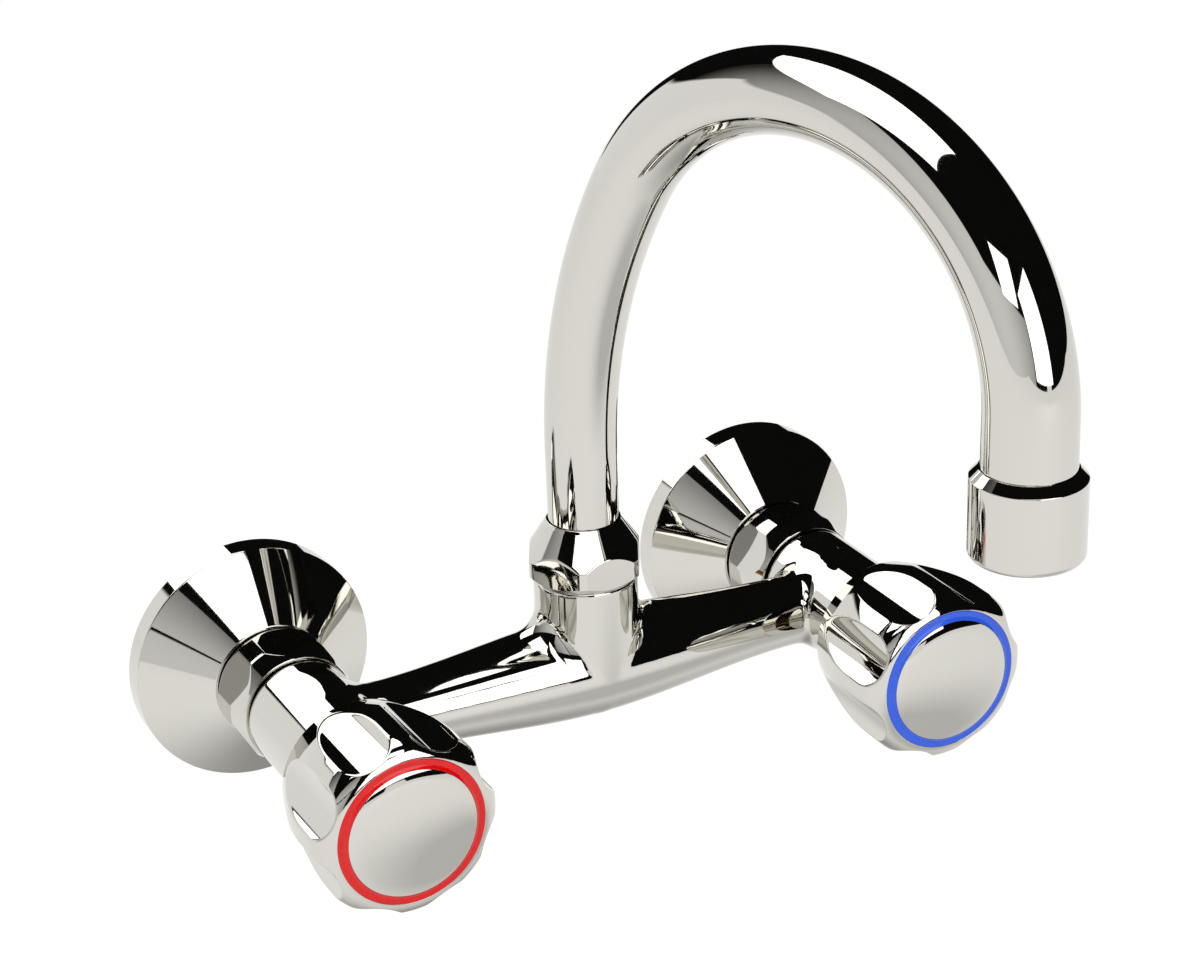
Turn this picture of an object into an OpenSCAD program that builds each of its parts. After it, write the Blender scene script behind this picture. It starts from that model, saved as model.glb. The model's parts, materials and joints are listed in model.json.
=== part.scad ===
// Wall-mounted sink mixer: two handwheels, a cast bridge and a swivelling swan-neck spout.
// Millimetres. +Z is up and +Y runs into the wall, whose finished face is the plane y = 0.
// The origin lies on that face, midway between the two wall threads. Hot is at -X, cold at +X.

/* [Layout] */
// Distance between the hot and the cold inlet
inlet_spacing = 150; // [146:1:156]
// Drop of the mixer below the wall threads, given by the eccentric unions
union_offset = 5; // [3:0.5:6]
// Swing of the spout at rest, from straight ahead toward the cold side
spout_swing = 20; // [-60:5:60]

/* [Wall plates] */
// Outer radius of a wall plate
plate_r = 32.1; // [29:0.1:36]
// Depth of its straight rim
plate_rim = 6.4; // [4:0.1:8]
// Depth of the whole wall plate
plate_depth = 19; // [17:0.1:21]
// Wall of the pressed plate
plate_wall = 1.2; // [0.8:0.1:1.6]
// Radius of its small end
plate_neck_r = 15.5; // [15.3:0.1:18]

/* [Inlet unions] */
// Crest radius of the wall thread
wall_thread_r = 10.48; // [10.2:0.01:10.6]
// Length of the wall thread
wall_thread_len = 16; // [12:0.5:20]
// Crest radius of the mixer's union thread
union_thread_r = 13.22; // [13.1:0.01:13.3]
// Width across the flats of a union nut
union_af = 30.2; // [30:0.1:32]
// Radius that a union nut's corners are turned down to
union_nut_r = 16.3; // [16:0.1:17]
// Length of a union nut
union_nut_len = 18; // [17:0.1:20]
// Turn of the union nuts about their axis
union_turn = -0.5; // [-30:0.5:30]
// Thickness of the inlet gasket
gasket_t = 2.4; // [2:0.1:3]

/* [Bridge body] */
// Radius of a valve chamber
chamber_r = 14.3; // [14:0.1:16]
// Distance from a chamber's inlet face to the bridge's axis
inlet_len = 13.2; // [13:0.1:15]
// Distance from the bridge's axis to a chamber's mouth
mouth_len = 20.3; // [20:0.1:22]
// Radius of the bridge in the middle
bridge_mid_r = 13.3; // [12.5:0.1:13.4]
// Radius of the bridge at its necks
bridge_end_r = 9.4; // [8.5:0.1:10]
// Radius of the water way in the bridge
bridge_bore_r = 5; // [4:0.1:5]
// Radius of the riser under the spout
riser_r = 13.4; // [13.4:0.1:14]
// Height of the riser's shoulder above the bridge's axis
riser_height = 26.2; // [25:0.1:30]
// Radius of the fillet between the riser and the bridge
fillet_r = 6.6; // [4:0.1:8]

/* [Headwork] */
// Travel of a valve plug from shut to open
lift = 5; // [3:0.1:5]
// Crest radius of the headwork's thread
head_thread_r = 10.48; // [10.3:0.01:10.5]
// Length of the headwork's thread
head_thread_len = 10; // [8:0.5:11]
// Width across the flats of a plug's guide
guide_af = 11; // [10.9:0.1:12]
// Radius of a spindle's shaft
spindle_r = 4.5; // [4.3:0.1:4.6]
// Number of splines on a spindle
spline_count = 20; // [16:1:24]

/* [Knobs] */
// Largest radius of a knob
knob_r = 23.7; // [23:0.1:26]
// Length of a knob
knob_len = 33.1; // [32.5:0.1:35]
// Number of finger flutes round a knob
flute_count = 8; // [6:1:8]
// Radius of the cutter that leaves a flute
flute_r = 12; // [10:0.5:14]
// Depth of a flute below the knob's largest radius
flute_depth = 3.1; // [2.5:0.1:4]
// Outer radius of the coloured index ring
ring_r = 18.93; // [18:0.01:19.4]
// Width of the index ring
ring_w = 2.43; // [2:0.01:3]
// Height by which the ring's inner edge rises to the cap
ring_rise = 0.5; // [0.2:0.05:0.8]
// Height of the cap's dome above its edge
cap_rise = 1.65; // [0.5:0.05:3]

/* [Spout] */
// Angle of the leg where its slow bend meets the top bend
lean_angle = 29.94; // [24:0.02:36]
// Radius of the spout's top bend
arch_r = 61.6; // [60:0.1:63]
// Radius of the slow bend in the spout's leg
lean_r = 150; // [140:1:160]
// Height of the straight start of the leg above the bridge's axis
leg_height = 60; // [52:1:70]
// Outer radius of the tube at the nut
tube_r = 9; // [8.9:0.05:9.1]
// Outer radius of the tube at the outlet
outlet_r = 10.86; // [10.5:0.01:11]
// Wall of the tube
tube_wall = 1.2; // [0.8:0.1:1.4]
// Length of the straight drop under the top bend
drop_len = 14; // [10:0.5:20]

/* [Spout nut] */
// Width across the flats of the spout nut
spout_af = 27.8; // [27.4:0.1:29]
// Radius that the spout nut's corners are turned down to
spout_nut_r = 15.5; // [15:0.1:16.5]
// Height of the spout nut
spout_nut_len = 15.3; // [14.8:0.1:16.5]
// Turn of the spout nut about its axis
spout_nut_turn = 1; // [-30:0.5:30]

/* [Aerator] */
// Outer radius of the aerator's housing
aerator_r = 13.3; // [12.9:0.1:14]
// Length of the aerator's housing
aerator_len = 21.4; // [20:0.1:24]
// Radius of a hole in the aerator's honeycomb
cell_r = 0.75; // [0.5:0.05:0.8]

/* [Hidden] */
$fn = 96;

// Clearances
thread_gap = 0.05;
slide_gap = 0.05;
face_gap = 0.1;
body_gap = 0.5;
stub_gap = 0.1;
eps = 0.01;

// Depths from the wall, along an inlet's axis
nut_back = plate_depth + body_gap;
nut_front = nut_back + union_nut_len;
union_end = nut_back + 7.5;
flange_back = union_end + gasket_t;
flange_t = 3;
shoulder = flange_back + flange_t;
body_back = nut_front + 2 * body_gap;
bridge_depth = body_back + inlet_len;
mouth = bridge_depth + mouth_len;

// Length of an arm of the bridge, from the middle to its neck
arm_len = inlet_spacing / 2 - chamber_r - 2;

// Inlet nipple and gasket
nipple_r = 9.4;
nipple_bore_r = 6.4;
flange_r = union_thread_r - 1;
gasket_bore_r = 8.4;

// Valve seat in a chamber
seat_r = 5.5;
seat_lip_r = 6.7;
valve_bore_r = 9.3;
seat_face = bridge_depth - bridge_bore_r + 0.3;
seat_back = seat_face - 2.6;
nipple_end = seat_back - 0.4;

// Valve plug and headwork
washer_t = 3;
washer_r = 7;
plug_back = seat_face + washer_t;
plug_floor = plug_back + 2;
plug_end = plug_back + 13.5;
plug_flange_r = 7.4;
nose_back = plug_floor + lift + 0.4;
nose_r = 8.7;
collar_back = plug_end + lift + 0.5;
collar_t = 2;
step = collar_back + collar_t + face_gap;
screw_r = 3.2;
screw_tip = plug_floor + lift + 0.5;
bonnet_gasket_t = 1;
hex_back = mouth + bonnet_gasket_t;
hex_front = hex_back + 5.5;
bonnet_af = 24;
neck_r = 7.6;
neck_end = hex_front + 7.5;
seal_groove = hex_front + 2.5;
groove_w = 1.9;
circlip_back = neck_end + face_gap;
circlip_t = 1;
spline_back = circlip_back + circlip_t + 0.8;
spline_len = 10;
spline_end = spline_back + spline_len;
spline_r = spindle_r - 0.5;
spline_depth = 0.45;

// Knob, from its back to its front
knob_back = mouth + 2.2;
knob_front = knob_back + knob_len;
skirt_r = 15.7;
web_back = spline_back;
socket_af = 13;
socket_end = spline_end + 0.5;
pocket = socket_end + 2;
shelf = knob_front - 4.1;
flute_floor = knob_r - flute_depth;
ring_front = knob_front;
ring_flat = 1.48;
cap_r = ring_r - ring_w - slide_gap;
cap_edge = ring_front + ring_rise;
knob_screw_r = 2.1;
knob_screw_head_r = 3.7;
knob_screw_len = 7;

// Heights above the bridge's axis, along the riser's axis
riser_thread_r = 12;
riser_thread_len = 7;
riser_top = riser_height + riser_thread_len;
spigot_bore_r = 9;
spigot_r = spigot_bore_r - slide_gap;
spigot_bottom = 13;
mix_bore_r = 7;
glide_t = 0.9;
collar_bottom = riser_top + glide_t + face_gap;
collar_top = collar_bottom + 2.6;
collar_r = 10.6;
spout_nut_bottom = riser_height + 0.3;
spout_nut_top = spout_nut_bottom + spout_nut_len;
nut_shoulder = collar_top + glide_t + face_gap;
nut_lip_r = tube_r + 0.3;
seal_r = 0.92;

// Spout's course in its own upright plane
spout_reach = lean_r * (1 - cos(lean_angle)) + arch_r * (1 + cos(lean_angle));
arch_z = leg_height + (lean_r - arch_r) * sin(lean_angle);
tube_end = arch_z - drop_len;

// Aerator, from the tube's end downward
ferrule_len = 5;
ferrule_end = tube_end - ferrule_len;
housing_top = tube_end + 2.4;
housing_bottom = housing_top - aerator_len;
aerator_washer_t = 2;
cartridge_top = ferrule_end - aerator_washer_t;
cartridge_flange_t = 1.5;
cartridge_step = cartridge_top - cartridge_flange_t;
cartridge_r = 9.4;
cartridge_bottom = housing_bottom + 0.8;
cartridge_wall = 1.2;
honeycomb_t = 3.5;

// Colours
chrome = [0.82, 0.82, 0.80];
brass = [0.80, 0.66, 0.36];
rubber = [0.10, 0.10, 0.10];
white_plastic = [0.92, 0.92, 0.90];
steel = [0.62, 0.63, 0.64];
hot_red = [0.86, 0.18, 0.18];
cold_blue = [0.29, 0.41, 0.88];

// Places children on an inlet's axis: local z is the depth from the wall, local y is up
module on_inlet(side) {
    translate([side * inlet_spacing / 2, 0, -union_offset])
        rotate([90, 0, 0])
            children();
}

// Places children on the riser's axis, with z = 0 at the bridge's axis
module on_riser() {
    translate([0, -bridge_depth, -union_offset])
        children();
}

// Places children in the spout's frame: local x points from the riser to the outlet
module in_spout() {
    on_riser()
        rotate([0, 0, spout_swing - 90])
            children();
}

// A cylinder between two depths
module rod(r, from, to) {
    translate([0, 0, from])
        cylinder(r = r, h = to - from);
}

// A ring between two depths
module ring(r_out, r_in, from, to) {
    difference() {
        rod(r_out, from, to);
        rod(r_in, from - eps, to + eps);
    }
}

// A hexagonal prism of a width across the flats, between two depths
module hexagon(af, from, to) {
    translate([0, 0, from])
        cylinder(r = af / sqrt(3), h = to - from, $fn = 6);
}

// An O-ring seated round radius r at height z
module o_ring(r, section, z) {
    translate([0, 0, z])
        rotate_extrude()
            translate([r, 0])
                circle(r = section, $fn = 24);
}

// Points of an arc about a centre, from one angle to another
function arc(cx, cy, r, a0, a1, n) =
    [for (i = [0 : n])
        let (a = a0 + (a1 - a0) * i / n)
            [cx + r * cos(a), cy + r * sin(a)]];

// Eccentric union: wall thread, offset neck and the thread that the union nut pulls on
module wall_union(side) {
    color(brass)
    on_inlet(side)
    difference() {
        union() {
            translate([0, union_offset, 0]) {
                rod(wall_thread_r, -wall_thread_len, 1);
                translate([0, 0, 1])
                    cylinder(r1 = wall_thread_r, r2 = wall_thread_r + 1.6, h = 1.6);
                rod(wall_thread_r + 1.6, 2.6, 7);
            }
            rod(union_thread_r, 6, union_end);
        }
        translate([0, union_offset, 0])
            rod(wall_thread_r - 2.8, -wall_thread_len - eps, 9);
        rod(union_thread_r - 4.2, 9 - eps, union_end + eps);
    }
}

// Pressed wall plate: a straight rim and a cone, hollow behind
module wall_plate(side) {
    plate_bore_r = union_thread_r + thread_gap;
    color(chrome)
    on_inlet(side)
    rotate_extrude()
    polygon([
        [plate_r - plate_wall, 0],
        [plate_r, 0],
        [plate_r, plate_rim],
        [plate_neck_r, plate_depth],
        [plate_bore_r, plate_depth],
        [plate_bore_r, plate_depth - 3.2],
        [plate_neck_r - plate_wall, plate_depth - 3.2],
        [plate_r - plate_wall, plate_rim - plate_wall / 2]
    ]);
}

// Flat gasket between the union's end and the nipple's flange
module inlet_gasket(side) {
    color(rubber)
    on_inlet(side)
        ring(flange_r, gasket_bore_r, union_end, flange_back);
}

// Nipple screwed into the body; its flange holds the union nut
module inlet_nipple(side) {
    color(brass)
    on_inlet(side)
    difference() {
        union() {
            rod(flange_r, flange_back, shoulder);
            rod(nipple_r, shoulder - eps, nipple_end);
        }
        rod(nipple_bore_r, flange_back - eps, nipple_end + eps);
    }
}

// Union nut: a hexagon with both ends turned down, threaded behind and necked in front
module union_nut(side) {
    face_r = union_af / 2;
    color(chrome)
    on_inlet(side)
    difference() {
        intersection() {
            rotate([0, 0, union_turn])
                hexagon(union_af, nut_back, nut_front);
            rotate_extrude()
            polygon([
                [0, nut_back],
                [face_r - 0.4, nut_back],
                [face_r, nut_back + 0.8],
                [union_nut_r, nut_back + 3.4],
                [union_nut_r, nut_front - 5.6],
                [face_r - 0.5, nut_front],
                [0, nut_front]
            ]);
        }
        rod(union_thread_r + thread_gap, nut_back - eps, shoulder);
        rod(nipple_r + 0.4, shoulder - eps, nut_front + eps);
    }
}

// Radius of the bridge at a share t of the way from the middle to a neck
function bridge_radius(t) = bridge_mid_r + (bridge_end_r - bridge_mid_r) * t * t * (3 - 2 * t);

// Outline of one arm of the bridge, as radius by distance from the middle, with its flare
module arm_outline() {
    flare_r = 14;
    flare_len = 9;
    flare_angle = asin(flare_len / flare_r);
    polygon(concat(
        [[0, -eps]],
        [for (i = [0 : 20]) [bridge_radius(i / 20), arm_len * i / 20]],
        [for (i = [1 : 8])
            let (a = flare_angle * i / 8)
                [bridge_end_r + flare_r * (1 - cos(a)), arm_len + flare_r * sin(a)]],
        [[0, arm_len + flare_len]]
    ));
}

// Rise of an arm's outline for each millimetre along it, at a distance from the middle
function arm_rise(x) = bridge_radius((x + 0.5) / arm_len) - bridge_radius((x - 0.5) / arm_len);

// One section of the fillet, at an angle round the riser.
// An arc touches the riser along u and the arm along w, and is closed inside both of them.
FILLET_ARC = 8;
FILLET_STEPS = 24;
FILLET_SINK = 0.4;
function fillet_section(turn) =
    let (
        x = (riser_r + fillet_r) * cos(turn),
        y = (riser_r + fillet_r) * sin(turn),
        rise = arm_rise(x),
        reach = bridge_radius(x / arm_len) + fillet_r * norm([1, rise]),
        z = sqrt(reach * reach - y * y),
        u = [-cos(turn), -sin(turn), 0],
        w = [rise, -y / reach, -z / reach] / norm([1, rise]),
        g = acos(u * w),
        middle = (u + w) / norm(u + w),
        rays = [for (t = [0 : 1 / FILLET_ARC : 1]) (u * sin(g * (1 - t)) + w * sin(g * t)) / sin(g)]
    )
        [
            [x, y, z] + (fillet_r + FILLET_SINK) * u,
            for (ray = rays) [x, y, z] + (fillet_r + eps) * ray,
            [x, y, z] + (fillet_r + FILLET_SINK) * w,
            [x, y, z] + (fillet_r / cos(g / 2) + 2 * FILLET_SINK) * middle
        ];

// Fillet between the riser and one arm, rolled round their meeting line
module riser_fillet(side) {
    widest = asin((bridge_mid_r + fillet_r) / (riser_r + fillet_r)) - 4;
    size = FILLET_ARC + 4;
    points = [for (i = [0 : FILLET_STEPS]) each fillet_section(widest * (2 * i / FILLET_STEPS - 1))];
    skin = [for (i = [0 : FILLET_STEPS - 1], k = [0 : size - 1])
        let (a = i * size + k, b = i * size + (k + 1) % size)
            each [[a, b + size, b], [a, a + size, b + size]]];
    ends = [
        [for (k = [0 : size - 1]) k],
        [for (k = [0 : size - 1]) FILLET_STEPS * size + size - 1 - k]
    ];
    mirror([side < 0 ? 1 : 0, 0, 0])
        polyhedron(points = points, faces = concat(skin, ends));
}

// Outside of one valve chamber, with its ends turned down
module chamber_outside() {
    rotate_extrude()
    polygon([
        [0, body_back],
        [chamber_r - 0.9, body_back],
        [chamber_r, body_back + 1.4],
        [chamber_r, mouth - 0.8],
        [chamber_r - 0.8, mouth],
        [0, mouth]
    ]);
}

// Inside of one valve chamber: nipple thread, seat, valve room and headwork thread
module chamber_inside() {
    rod(nipple_r + thread_gap, body_back - eps, seat_back);
    rod(seat_r, seat_back - eps, seat_face + eps);
    ring(valve_bore_r, seat_lip_r, seat_face - 0.8, seat_face + eps);
    rod(valve_bore_r, seat_face, mouth - head_thread_len);
    rod(head_thread_r + thread_gap, mouth - head_thread_len - eps, mouth + eps);
}

// Cast body: two valve chambers, the bridge between them and the riser for the spout
module mixer_body() {
    color(chrome)
    difference() {
        union() {
            for (side = [-1, 1]) {
                on_inlet(side)
                    chamber_outside();
                on_riser()
                    rotate([0, side * 90, 0])
                        rotate_extrude()
                            arm_outline();
            }
            on_riser() {
                sphere(r = riser_r);
                rod(riser_r, 0, riser_height);
                rod(riser_thread_r, riser_height - eps, riser_top);
                riser_fillet(-1);
                riser_fillet(1);
            }
        }
        for (side = [-1, 1]) {
            on_inlet(side)
                chamber_inside();
            on_riser()
                rotate([0, side * 90, 0])
                    rod(bridge_bore_r, -eps, inlet_spacing / 2 - valve_bore_r + 1);
        }
        on_riser() {
            rod(mix_bore_r, -bridge_bore_r, spigot_bottom);
            rod(spigot_bore_r, spigot_bottom - 1, riser_top + eps);
        }
    }
}

// Fibre ring under the headwork's hexagon
module bonnet_gasket(side) {
    color(rubber)
    on_inlet(side)
        ring(chamber_r - 1.2, head_thread_r + thread_gap, mouth, hex_back);
}

// Headwork: nose that guides the plug, thread, hexagon and neck
module bonnet(side) {
    color(brass)
    on_inlet(side)
    difference() {
        union() {
            rod(nose_r, nose_back, mouth - head_thread_len + 1);
            rod(head_thread_r, mouth - head_thread_len + 0.3, hex_back + eps);
            hexagon(bonnet_af, hex_back, hex_front);
            rod(neck_r, hex_front - eps, neck_end);
        }
        hexagon(guide_af + 2 * slide_gap, nose_back - eps, step);
        rod(spindle_r + slide_gap, step - eps, neck_end + eps);
    }
}

// Plug with a six-sided stem, so that it slides and never turns; its bore takes the spindle's screw
module valve_plug(side) {
    color(brass)
    on_inlet(side)
    difference() {
        union() {
            rod(plug_flange_r, plug_back, plug_floor);
            hexagon(guide_af, plug_floor - eps, plug_end);
        }
        rod(1.6 + thread_gap, plug_back - eps, plug_floor + eps);
        rod(screw_r + slide_gap, plug_floor, plug_end + eps);
    }
}

// Rubber washer that closes on the seat
module plug_washer(side) {
    color(rubber)
    on_inlet(side)
        ring(washer_r, 1.6 + thread_gap, seat_face, plug_back);
}

// Screw that holds the washer to the plug
module plug_screw(side) {
    color(brass)
    on_inlet(side)
    difference() {
        union() {
            rod(3, seat_face - 1.4, seat_face);
            rod(1.6, seat_face - eps, plug_floor);
        }
        translate([-3.5, -0.4, seat_face - 1.4 - eps])
            cube([7, 0.8, 0.7]);
    }
}

// Outline of the splines: one tooth and one gap for each count
module spline_outline(grow) {
    polygon([for (i = [0 : 2 * spline_count - 1])
        let (r = spline_r + grow - (i % 2 == 0 ? 0 : spline_depth), a = 180 * i / spline_count)
            [r * cos(a), r * sin(a)]]);
}

// Spindle: screw in the plug, thrust collar, sealed shaft, circlip groove and splined end
module spindle(side) {
    color(steel)
    on_inlet(side)
    difference() {
        union() {
            rod(screw_r, screw_tip, collar_back + eps);
            rod(guide_af / 2 - slide_gap, collar_back, collar_back + collar_t);
            rod(spindle_r, collar_back + collar_t - eps, spline_back);
            translate([0, 0, spline_back - eps])
                linear_extrude(spline_len + eps)
                    spline_outline(0);
        }
        ring(spindle_r + 1, spindle_r - 1.5, seal_groove - groove_w / 2, seal_groove + groove_w / 2);
        ring(spindle_r + 1, spindle_r - 0.6, circlip_back - eps, circlip_back + circlip_t + eps);
        rod(knob_screw_r + thread_gap, spline_end - knob_screw_len - 1, spline_end + eps);
    }
}

// O-ring in the spindle's groove
module spindle_seal(side) {
    color(rubber)
    on_inlet(side)
        o_ring(spindle_r - 0.73, 0.75, seal_groove);
}

// Open ring that keeps the spindle in the headwork
module circlip(side) {
    color(steel)
    on_inlet(side)
    difference() {
        ring(spindle_r + 1.7, spindle_r - 0.6, circlip_back, circlip_back + circlip_t);
        translate([0, -1.5, circlip_back - 1])
            cube([10, 3, circlip_t + 2]);
    }
}

// Plastic insert between the splines and the knob's six-sided socket
module spline_insert(side) {
    color(white_plastic)
    on_inlet(side)
    difference() {
        hexagon(socket_af, web_back, socket_end);
        translate([0, 0, web_back - eps])
            linear_extrude(socket_end - web_back + 2 * eps)
                spline_outline(slide_gap);
    }
}

// Outline of a knob: radius by depth, swelling from the back and rolled over at the front
module knob_outline() {
    roll_r = 6;
    back_r = knob_r - 4.3;
    swell_end = knob_front - 11.5;
    polygon(concat(
        [[0, knob_back]],
        [for (i = [0 : 14])
            let (t = i / 14)
                [back_r + (knob_r - back_r) * sin(90 * t), knob_back + (swell_end - knob_back) * t]],
        arc(knob_r - roll_r, knob_front - roll_r, roll_r, 0, 78, 12),
        [[0, knob_front - roll_r * (1 - sin(78))]]
    ));
}

// Knob: a barrel with finger flutes, a skirt over the headwork and a stepped pocket in front
module knob(side) {
    color(chrome)
    on_inlet(side)
    difference() {
        rotate_extrude()
            knob_outline();
        for (i = [0 : flute_count - 1])
            rotate([0, 0, 360 * (i + 0.5) / flute_count])
                translate([flute_floor + flute_r, 0, knob_back - 1])
                    cylinder(r = flute_r, h = knob_len + 2);
        rod(skirt_r, knob_back - eps, web_back);
        hexagon(socket_af + 2 * slide_gap, web_back - eps, socket_end);
        rod(knob_screw_r + 0.2, socket_end - eps, pocket + eps);
        rod(cap_r - 0.6, pocket, shelf + eps);
        rod(ring_r + slide_gap, shelf, knob_front + eps);
    }
}

// Screw that holds the knob to the spindle
module knob_screw(side) {
    color(steel)
    on_inlet(side)
    difference() {
        union() {
            rod(knob_screw_head_r, pocket, pocket + 1.8);
            rod(knob_screw_r, spline_end - knob_screw_len, pocket + eps);
        }
        for (a = [0, 90])
            rotate([0, 0, a])
                translate([-2.2, -0.45, pocket + 0.8])
                    cube([4.4, 0.9, 2]);
    }
}

// Coloured ring round the cap: a flat face, then a hollow slope up to the cap's edge
module index_ring(side) {
    chamfer = 0.25;
    inner_r = ring_r - ring_w;
    slope = ring_w - ring_flat;
    color(side < 0 ? hot_red : cold_blue)
    on_inlet(side)
    rotate_extrude()
    polygon(concat(
        [
            [inner_r, shelf],
            [ring_r, shelf],
            [ring_r, ring_front - chamfer],
            [ring_r - chamfer, ring_front]
        ],
        [for (i = [0 : 6])
            let (t = i / 6)
                [ring_r - ring_flat - slope * t, ring_front + ring_rise * (0.45 * t + 0.55 * t * t)]]
    ));
}

// Domed cap, held inside the ring by a short skirt
module cap(side) {
    dome_r = (cap_r * cap_r + cap_rise * cap_rise) / (2 * cap_rise);
    dome_angle = asin(cap_r / dome_r);
    color(chrome)
    on_inlet(side)
    rotate_extrude()
    polygon(concat(
        [
            [0, shelf],
            [cap_r - 2, shelf],
            [cap_r - 2, shelf - 1.6],
            [cap_r - 0.8, shelf - 1.6],
            [cap_r - 0.8, shelf],
            [cap_r, shelf]
        ],
        arc(0, cap_edge + cap_rise - dome_r, dome_r, 90 - dome_angle, 90, 12)
    ));
}

// Spout nut: a hexagon below, turned to a tall cone above, with a lip round the tube
module spout_nut() {
    lip_r = nut_lip_r + 0.7;
    color(chrome)
    on_riser()
    difference() {
        intersection() {
            rotate([0, 0, spout_nut_turn])
                hexagon(spout_af, spout_nut_bottom, spout_nut_top);
            rotate_extrude()
            polygon([
                [0, spout_nut_bottom],
                [spout_af / 2 - 0.1, spout_nut_bottom],
                [spout_nut_r, spout_nut_bottom + 1.6],
                [spout_nut_r, spout_nut_top - 9.2],
                [lip_r, spout_nut_top - 0.8],
                [nut_lip_r + 0.2, spout_nut_top],
                [0, spout_nut_top]
            ]);
        }
        rod(riser_thread_r + thread_gap, spout_nut_bottom - eps, riser_top + 0.3);
        rod(collar_r + 0.4, riser_top, nut_shoulder);
        rod(nut_lip_r, nut_shoulder - eps, spout_nut_top + eps);
    }
}

// Glide ring on the riser's top, under the spout's collar
module lower_glide_ring() {
    color(white_plastic)
    on_riser()
        ring(collar_r, spigot_bore_r + 0.3, riser_top, riser_top + glide_t);
}

// Glide ring over the collar, under the nut's shoulder
module upper_glide_ring() {
    color(white_plastic)
    on_riser()
        ring(collar_r, tube_r + 0.35, nut_shoulder - glide_t, nut_shoulder);
}

// Turned foot of the spout: spigot in the riser, collar under the nut and a stub in the tube
module spout_collar() {
    color(brass)
    in_spout()
    difference() {
        union() {
            rod(spigot_r, spigot_bottom, collar_bottom + eps);
            rod(collar_r, collar_bottom, collar_top);
            rod(tube_r - tube_wall - stub_gap, collar_top - eps, collar_top + 5);
        }
        for (z = seal_heights())
            ring(spigot_r + 1, spigot_r - 1.85, z - seal_r - 0.1, z + seal_r + 0.1);
        rod(tube_r - tube_wall - 1.8, spigot_bottom - eps, collar_top + 5 + eps);
    }
}

// Heights of the two O-rings on the spigot
function seal_heights() = [spigot_bottom + 4, spigot_bottom + 10];

// The two O-rings on the spigot
module spout_seals() {
    color(rubber)
    in_spout()
        for (z = seal_heights())
            o_ring(spigot_r - seal_r + 0.02, seal_r, z);
}

// Centre line of the tube as [x, z, slope angle] at every step, from the foot to the outlet
LEG_STEPS = 4;
LEAN_STEPS = 8;
ARCH_STEPS = 30;
DROP_STEPS = 3;
function course() = concat(
    [for (i = [0 : LEG_STEPS - 1]) [0, collar_top + (leg_height - collar_top) * i / LEG_STEPS, 90]],
    [for (i = [0 : LEAN_STEPS - 1])
        let (a = lean_angle * i / LEAN_STEPS)
            [lean_r * (1 - cos(a)), leg_height + lean_r * sin(a), 90 - a]],
    [for (i = [0 : ARCH_STEPS])
        let (a = lean_angle + (180 - lean_angle) * i / ARCH_STEPS)
            [spout_reach - arch_r - arch_r * cos(a), arch_z + arch_r * sin(a), 90 - a]],
    [for (i = [1 : DROP_STEPS]) [spout_reach, arch_z - drop_len * i / DROP_STEPS, -90]]
);

// Length along the course up to each of its points
function lengths(points, i = 0, total = 0) =
    i >= len(points) ? [] :
    let (step_len = i == 0 ? 0 : norm([points[i][0] - points[i - 1][0], points[i][1] - points[i - 1][1]]))
        concat([total + step_len], lengths(points, i + 1, total + step_len));

// A ring of points square to the course
function hoop(point, r, sides) =
    [for (k = [0 : sides - 1])
        let (a = 360 * k / sides, u = r * cos(a), v = r * sin(a))
            [point[0] - u * sin(point[2]), v, point[1] + u * cos(point[2])]];

// Swan-neck tube: one skin outside and one inside, both widening from the nut to the outlet
module spout_tube() {
    sides = 32;
    points = course();
    along = lengths(points);
    count = len(points);
    total = along[count - 1];
    radii = [for (s = along) tube_r + (outlet_r - tube_r) * s / total];
    outer = [for (i = [0 : count - 1]) each hoop(points[i], radii[i], sides)];
    inner = [for (i = [0 : count - 1]) each hoop(points[i], radii[i] - tube_wall, sides)];
    base = count * sides;
    last = (count - 1) * sides;
    walls = [for (i = [0 : count - 2], k = [0 : sides - 1])
        let (n = (k + 1) % sides, a = i * sides + k, b = i * sides + n)
            each [[a, b, b + sides, a + sides],
                [base + b, base + a, base + a + sides, base + b + sides]]];
    ends = [for (k = [0 : sides - 1])
        let (n = (k + 1) % sides)
            each [[n, k, base + k, base + n],
                [last + k, last + n, base + last + n, base + last + k]]];
    color(chrome)
    in_spout()
        polyhedron(points = concat(outer, inner), faces = concat(walls, ends));
}

// Places children on the outlet's axis
module at_outlet() {
    in_spout()
        translate([spout_reach, 0, 0])
            children();
}

// Threaded end brazed into the tube
module outlet_ferrule() {
    stub_r = outlet_r - tube_wall - stub_gap;
    color(brass)
    at_outlet()
    difference() {
        union() {
            rod(outlet_r, ferrule_end, tube_end);
            rod(stub_r, tube_end - eps, tube_end + 4);
        }
        rod(stub_r - 1.4, ferrule_end - eps, tube_end + 4 + eps);
    }
}

// Housing of the aerator: chamfered above, rounded below, stepped inside
module aerator_housing() {
    bore_r = outlet_r + thread_gap;
    mouth_r = cartridge_r + 0.2;
    round_r = 1.8;
    color(chrome)
    at_outlet()
    rotate_extrude()
    polygon(concat(
        [[mouth_r, housing_bottom]],
        arc(aerator_r - round_r, housing_bottom + round_r, round_r, -90, 0, 6),
        [
            [aerator_r, housing_top - 2.2],
            [bore_r + 0.3, housing_top],
            [bore_r, housing_top],
            [bore_r, cartridge_step],
            [mouth_r, cartridge_step]
        ]
    ));
}

// Washer between the ferrule and the cartridge
module aerator_washer() {
    color(rubber)
    at_outlet()
        ring(outlet_r - 0.3, outlet_r - 2.4, cartridge_top, ferrule_end);
}

// Centres of the cells of a honeycomb inside a radius
function cells(pitch, limit) = [
    for (i = [-8 : 8], j = [-8 : 8])
        let (x = pitch * (i + j / 2), y = pitch * j * sqrt(3) / 2)
            if (x * x + y * y < limit * limit) [x, y]
];

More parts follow.
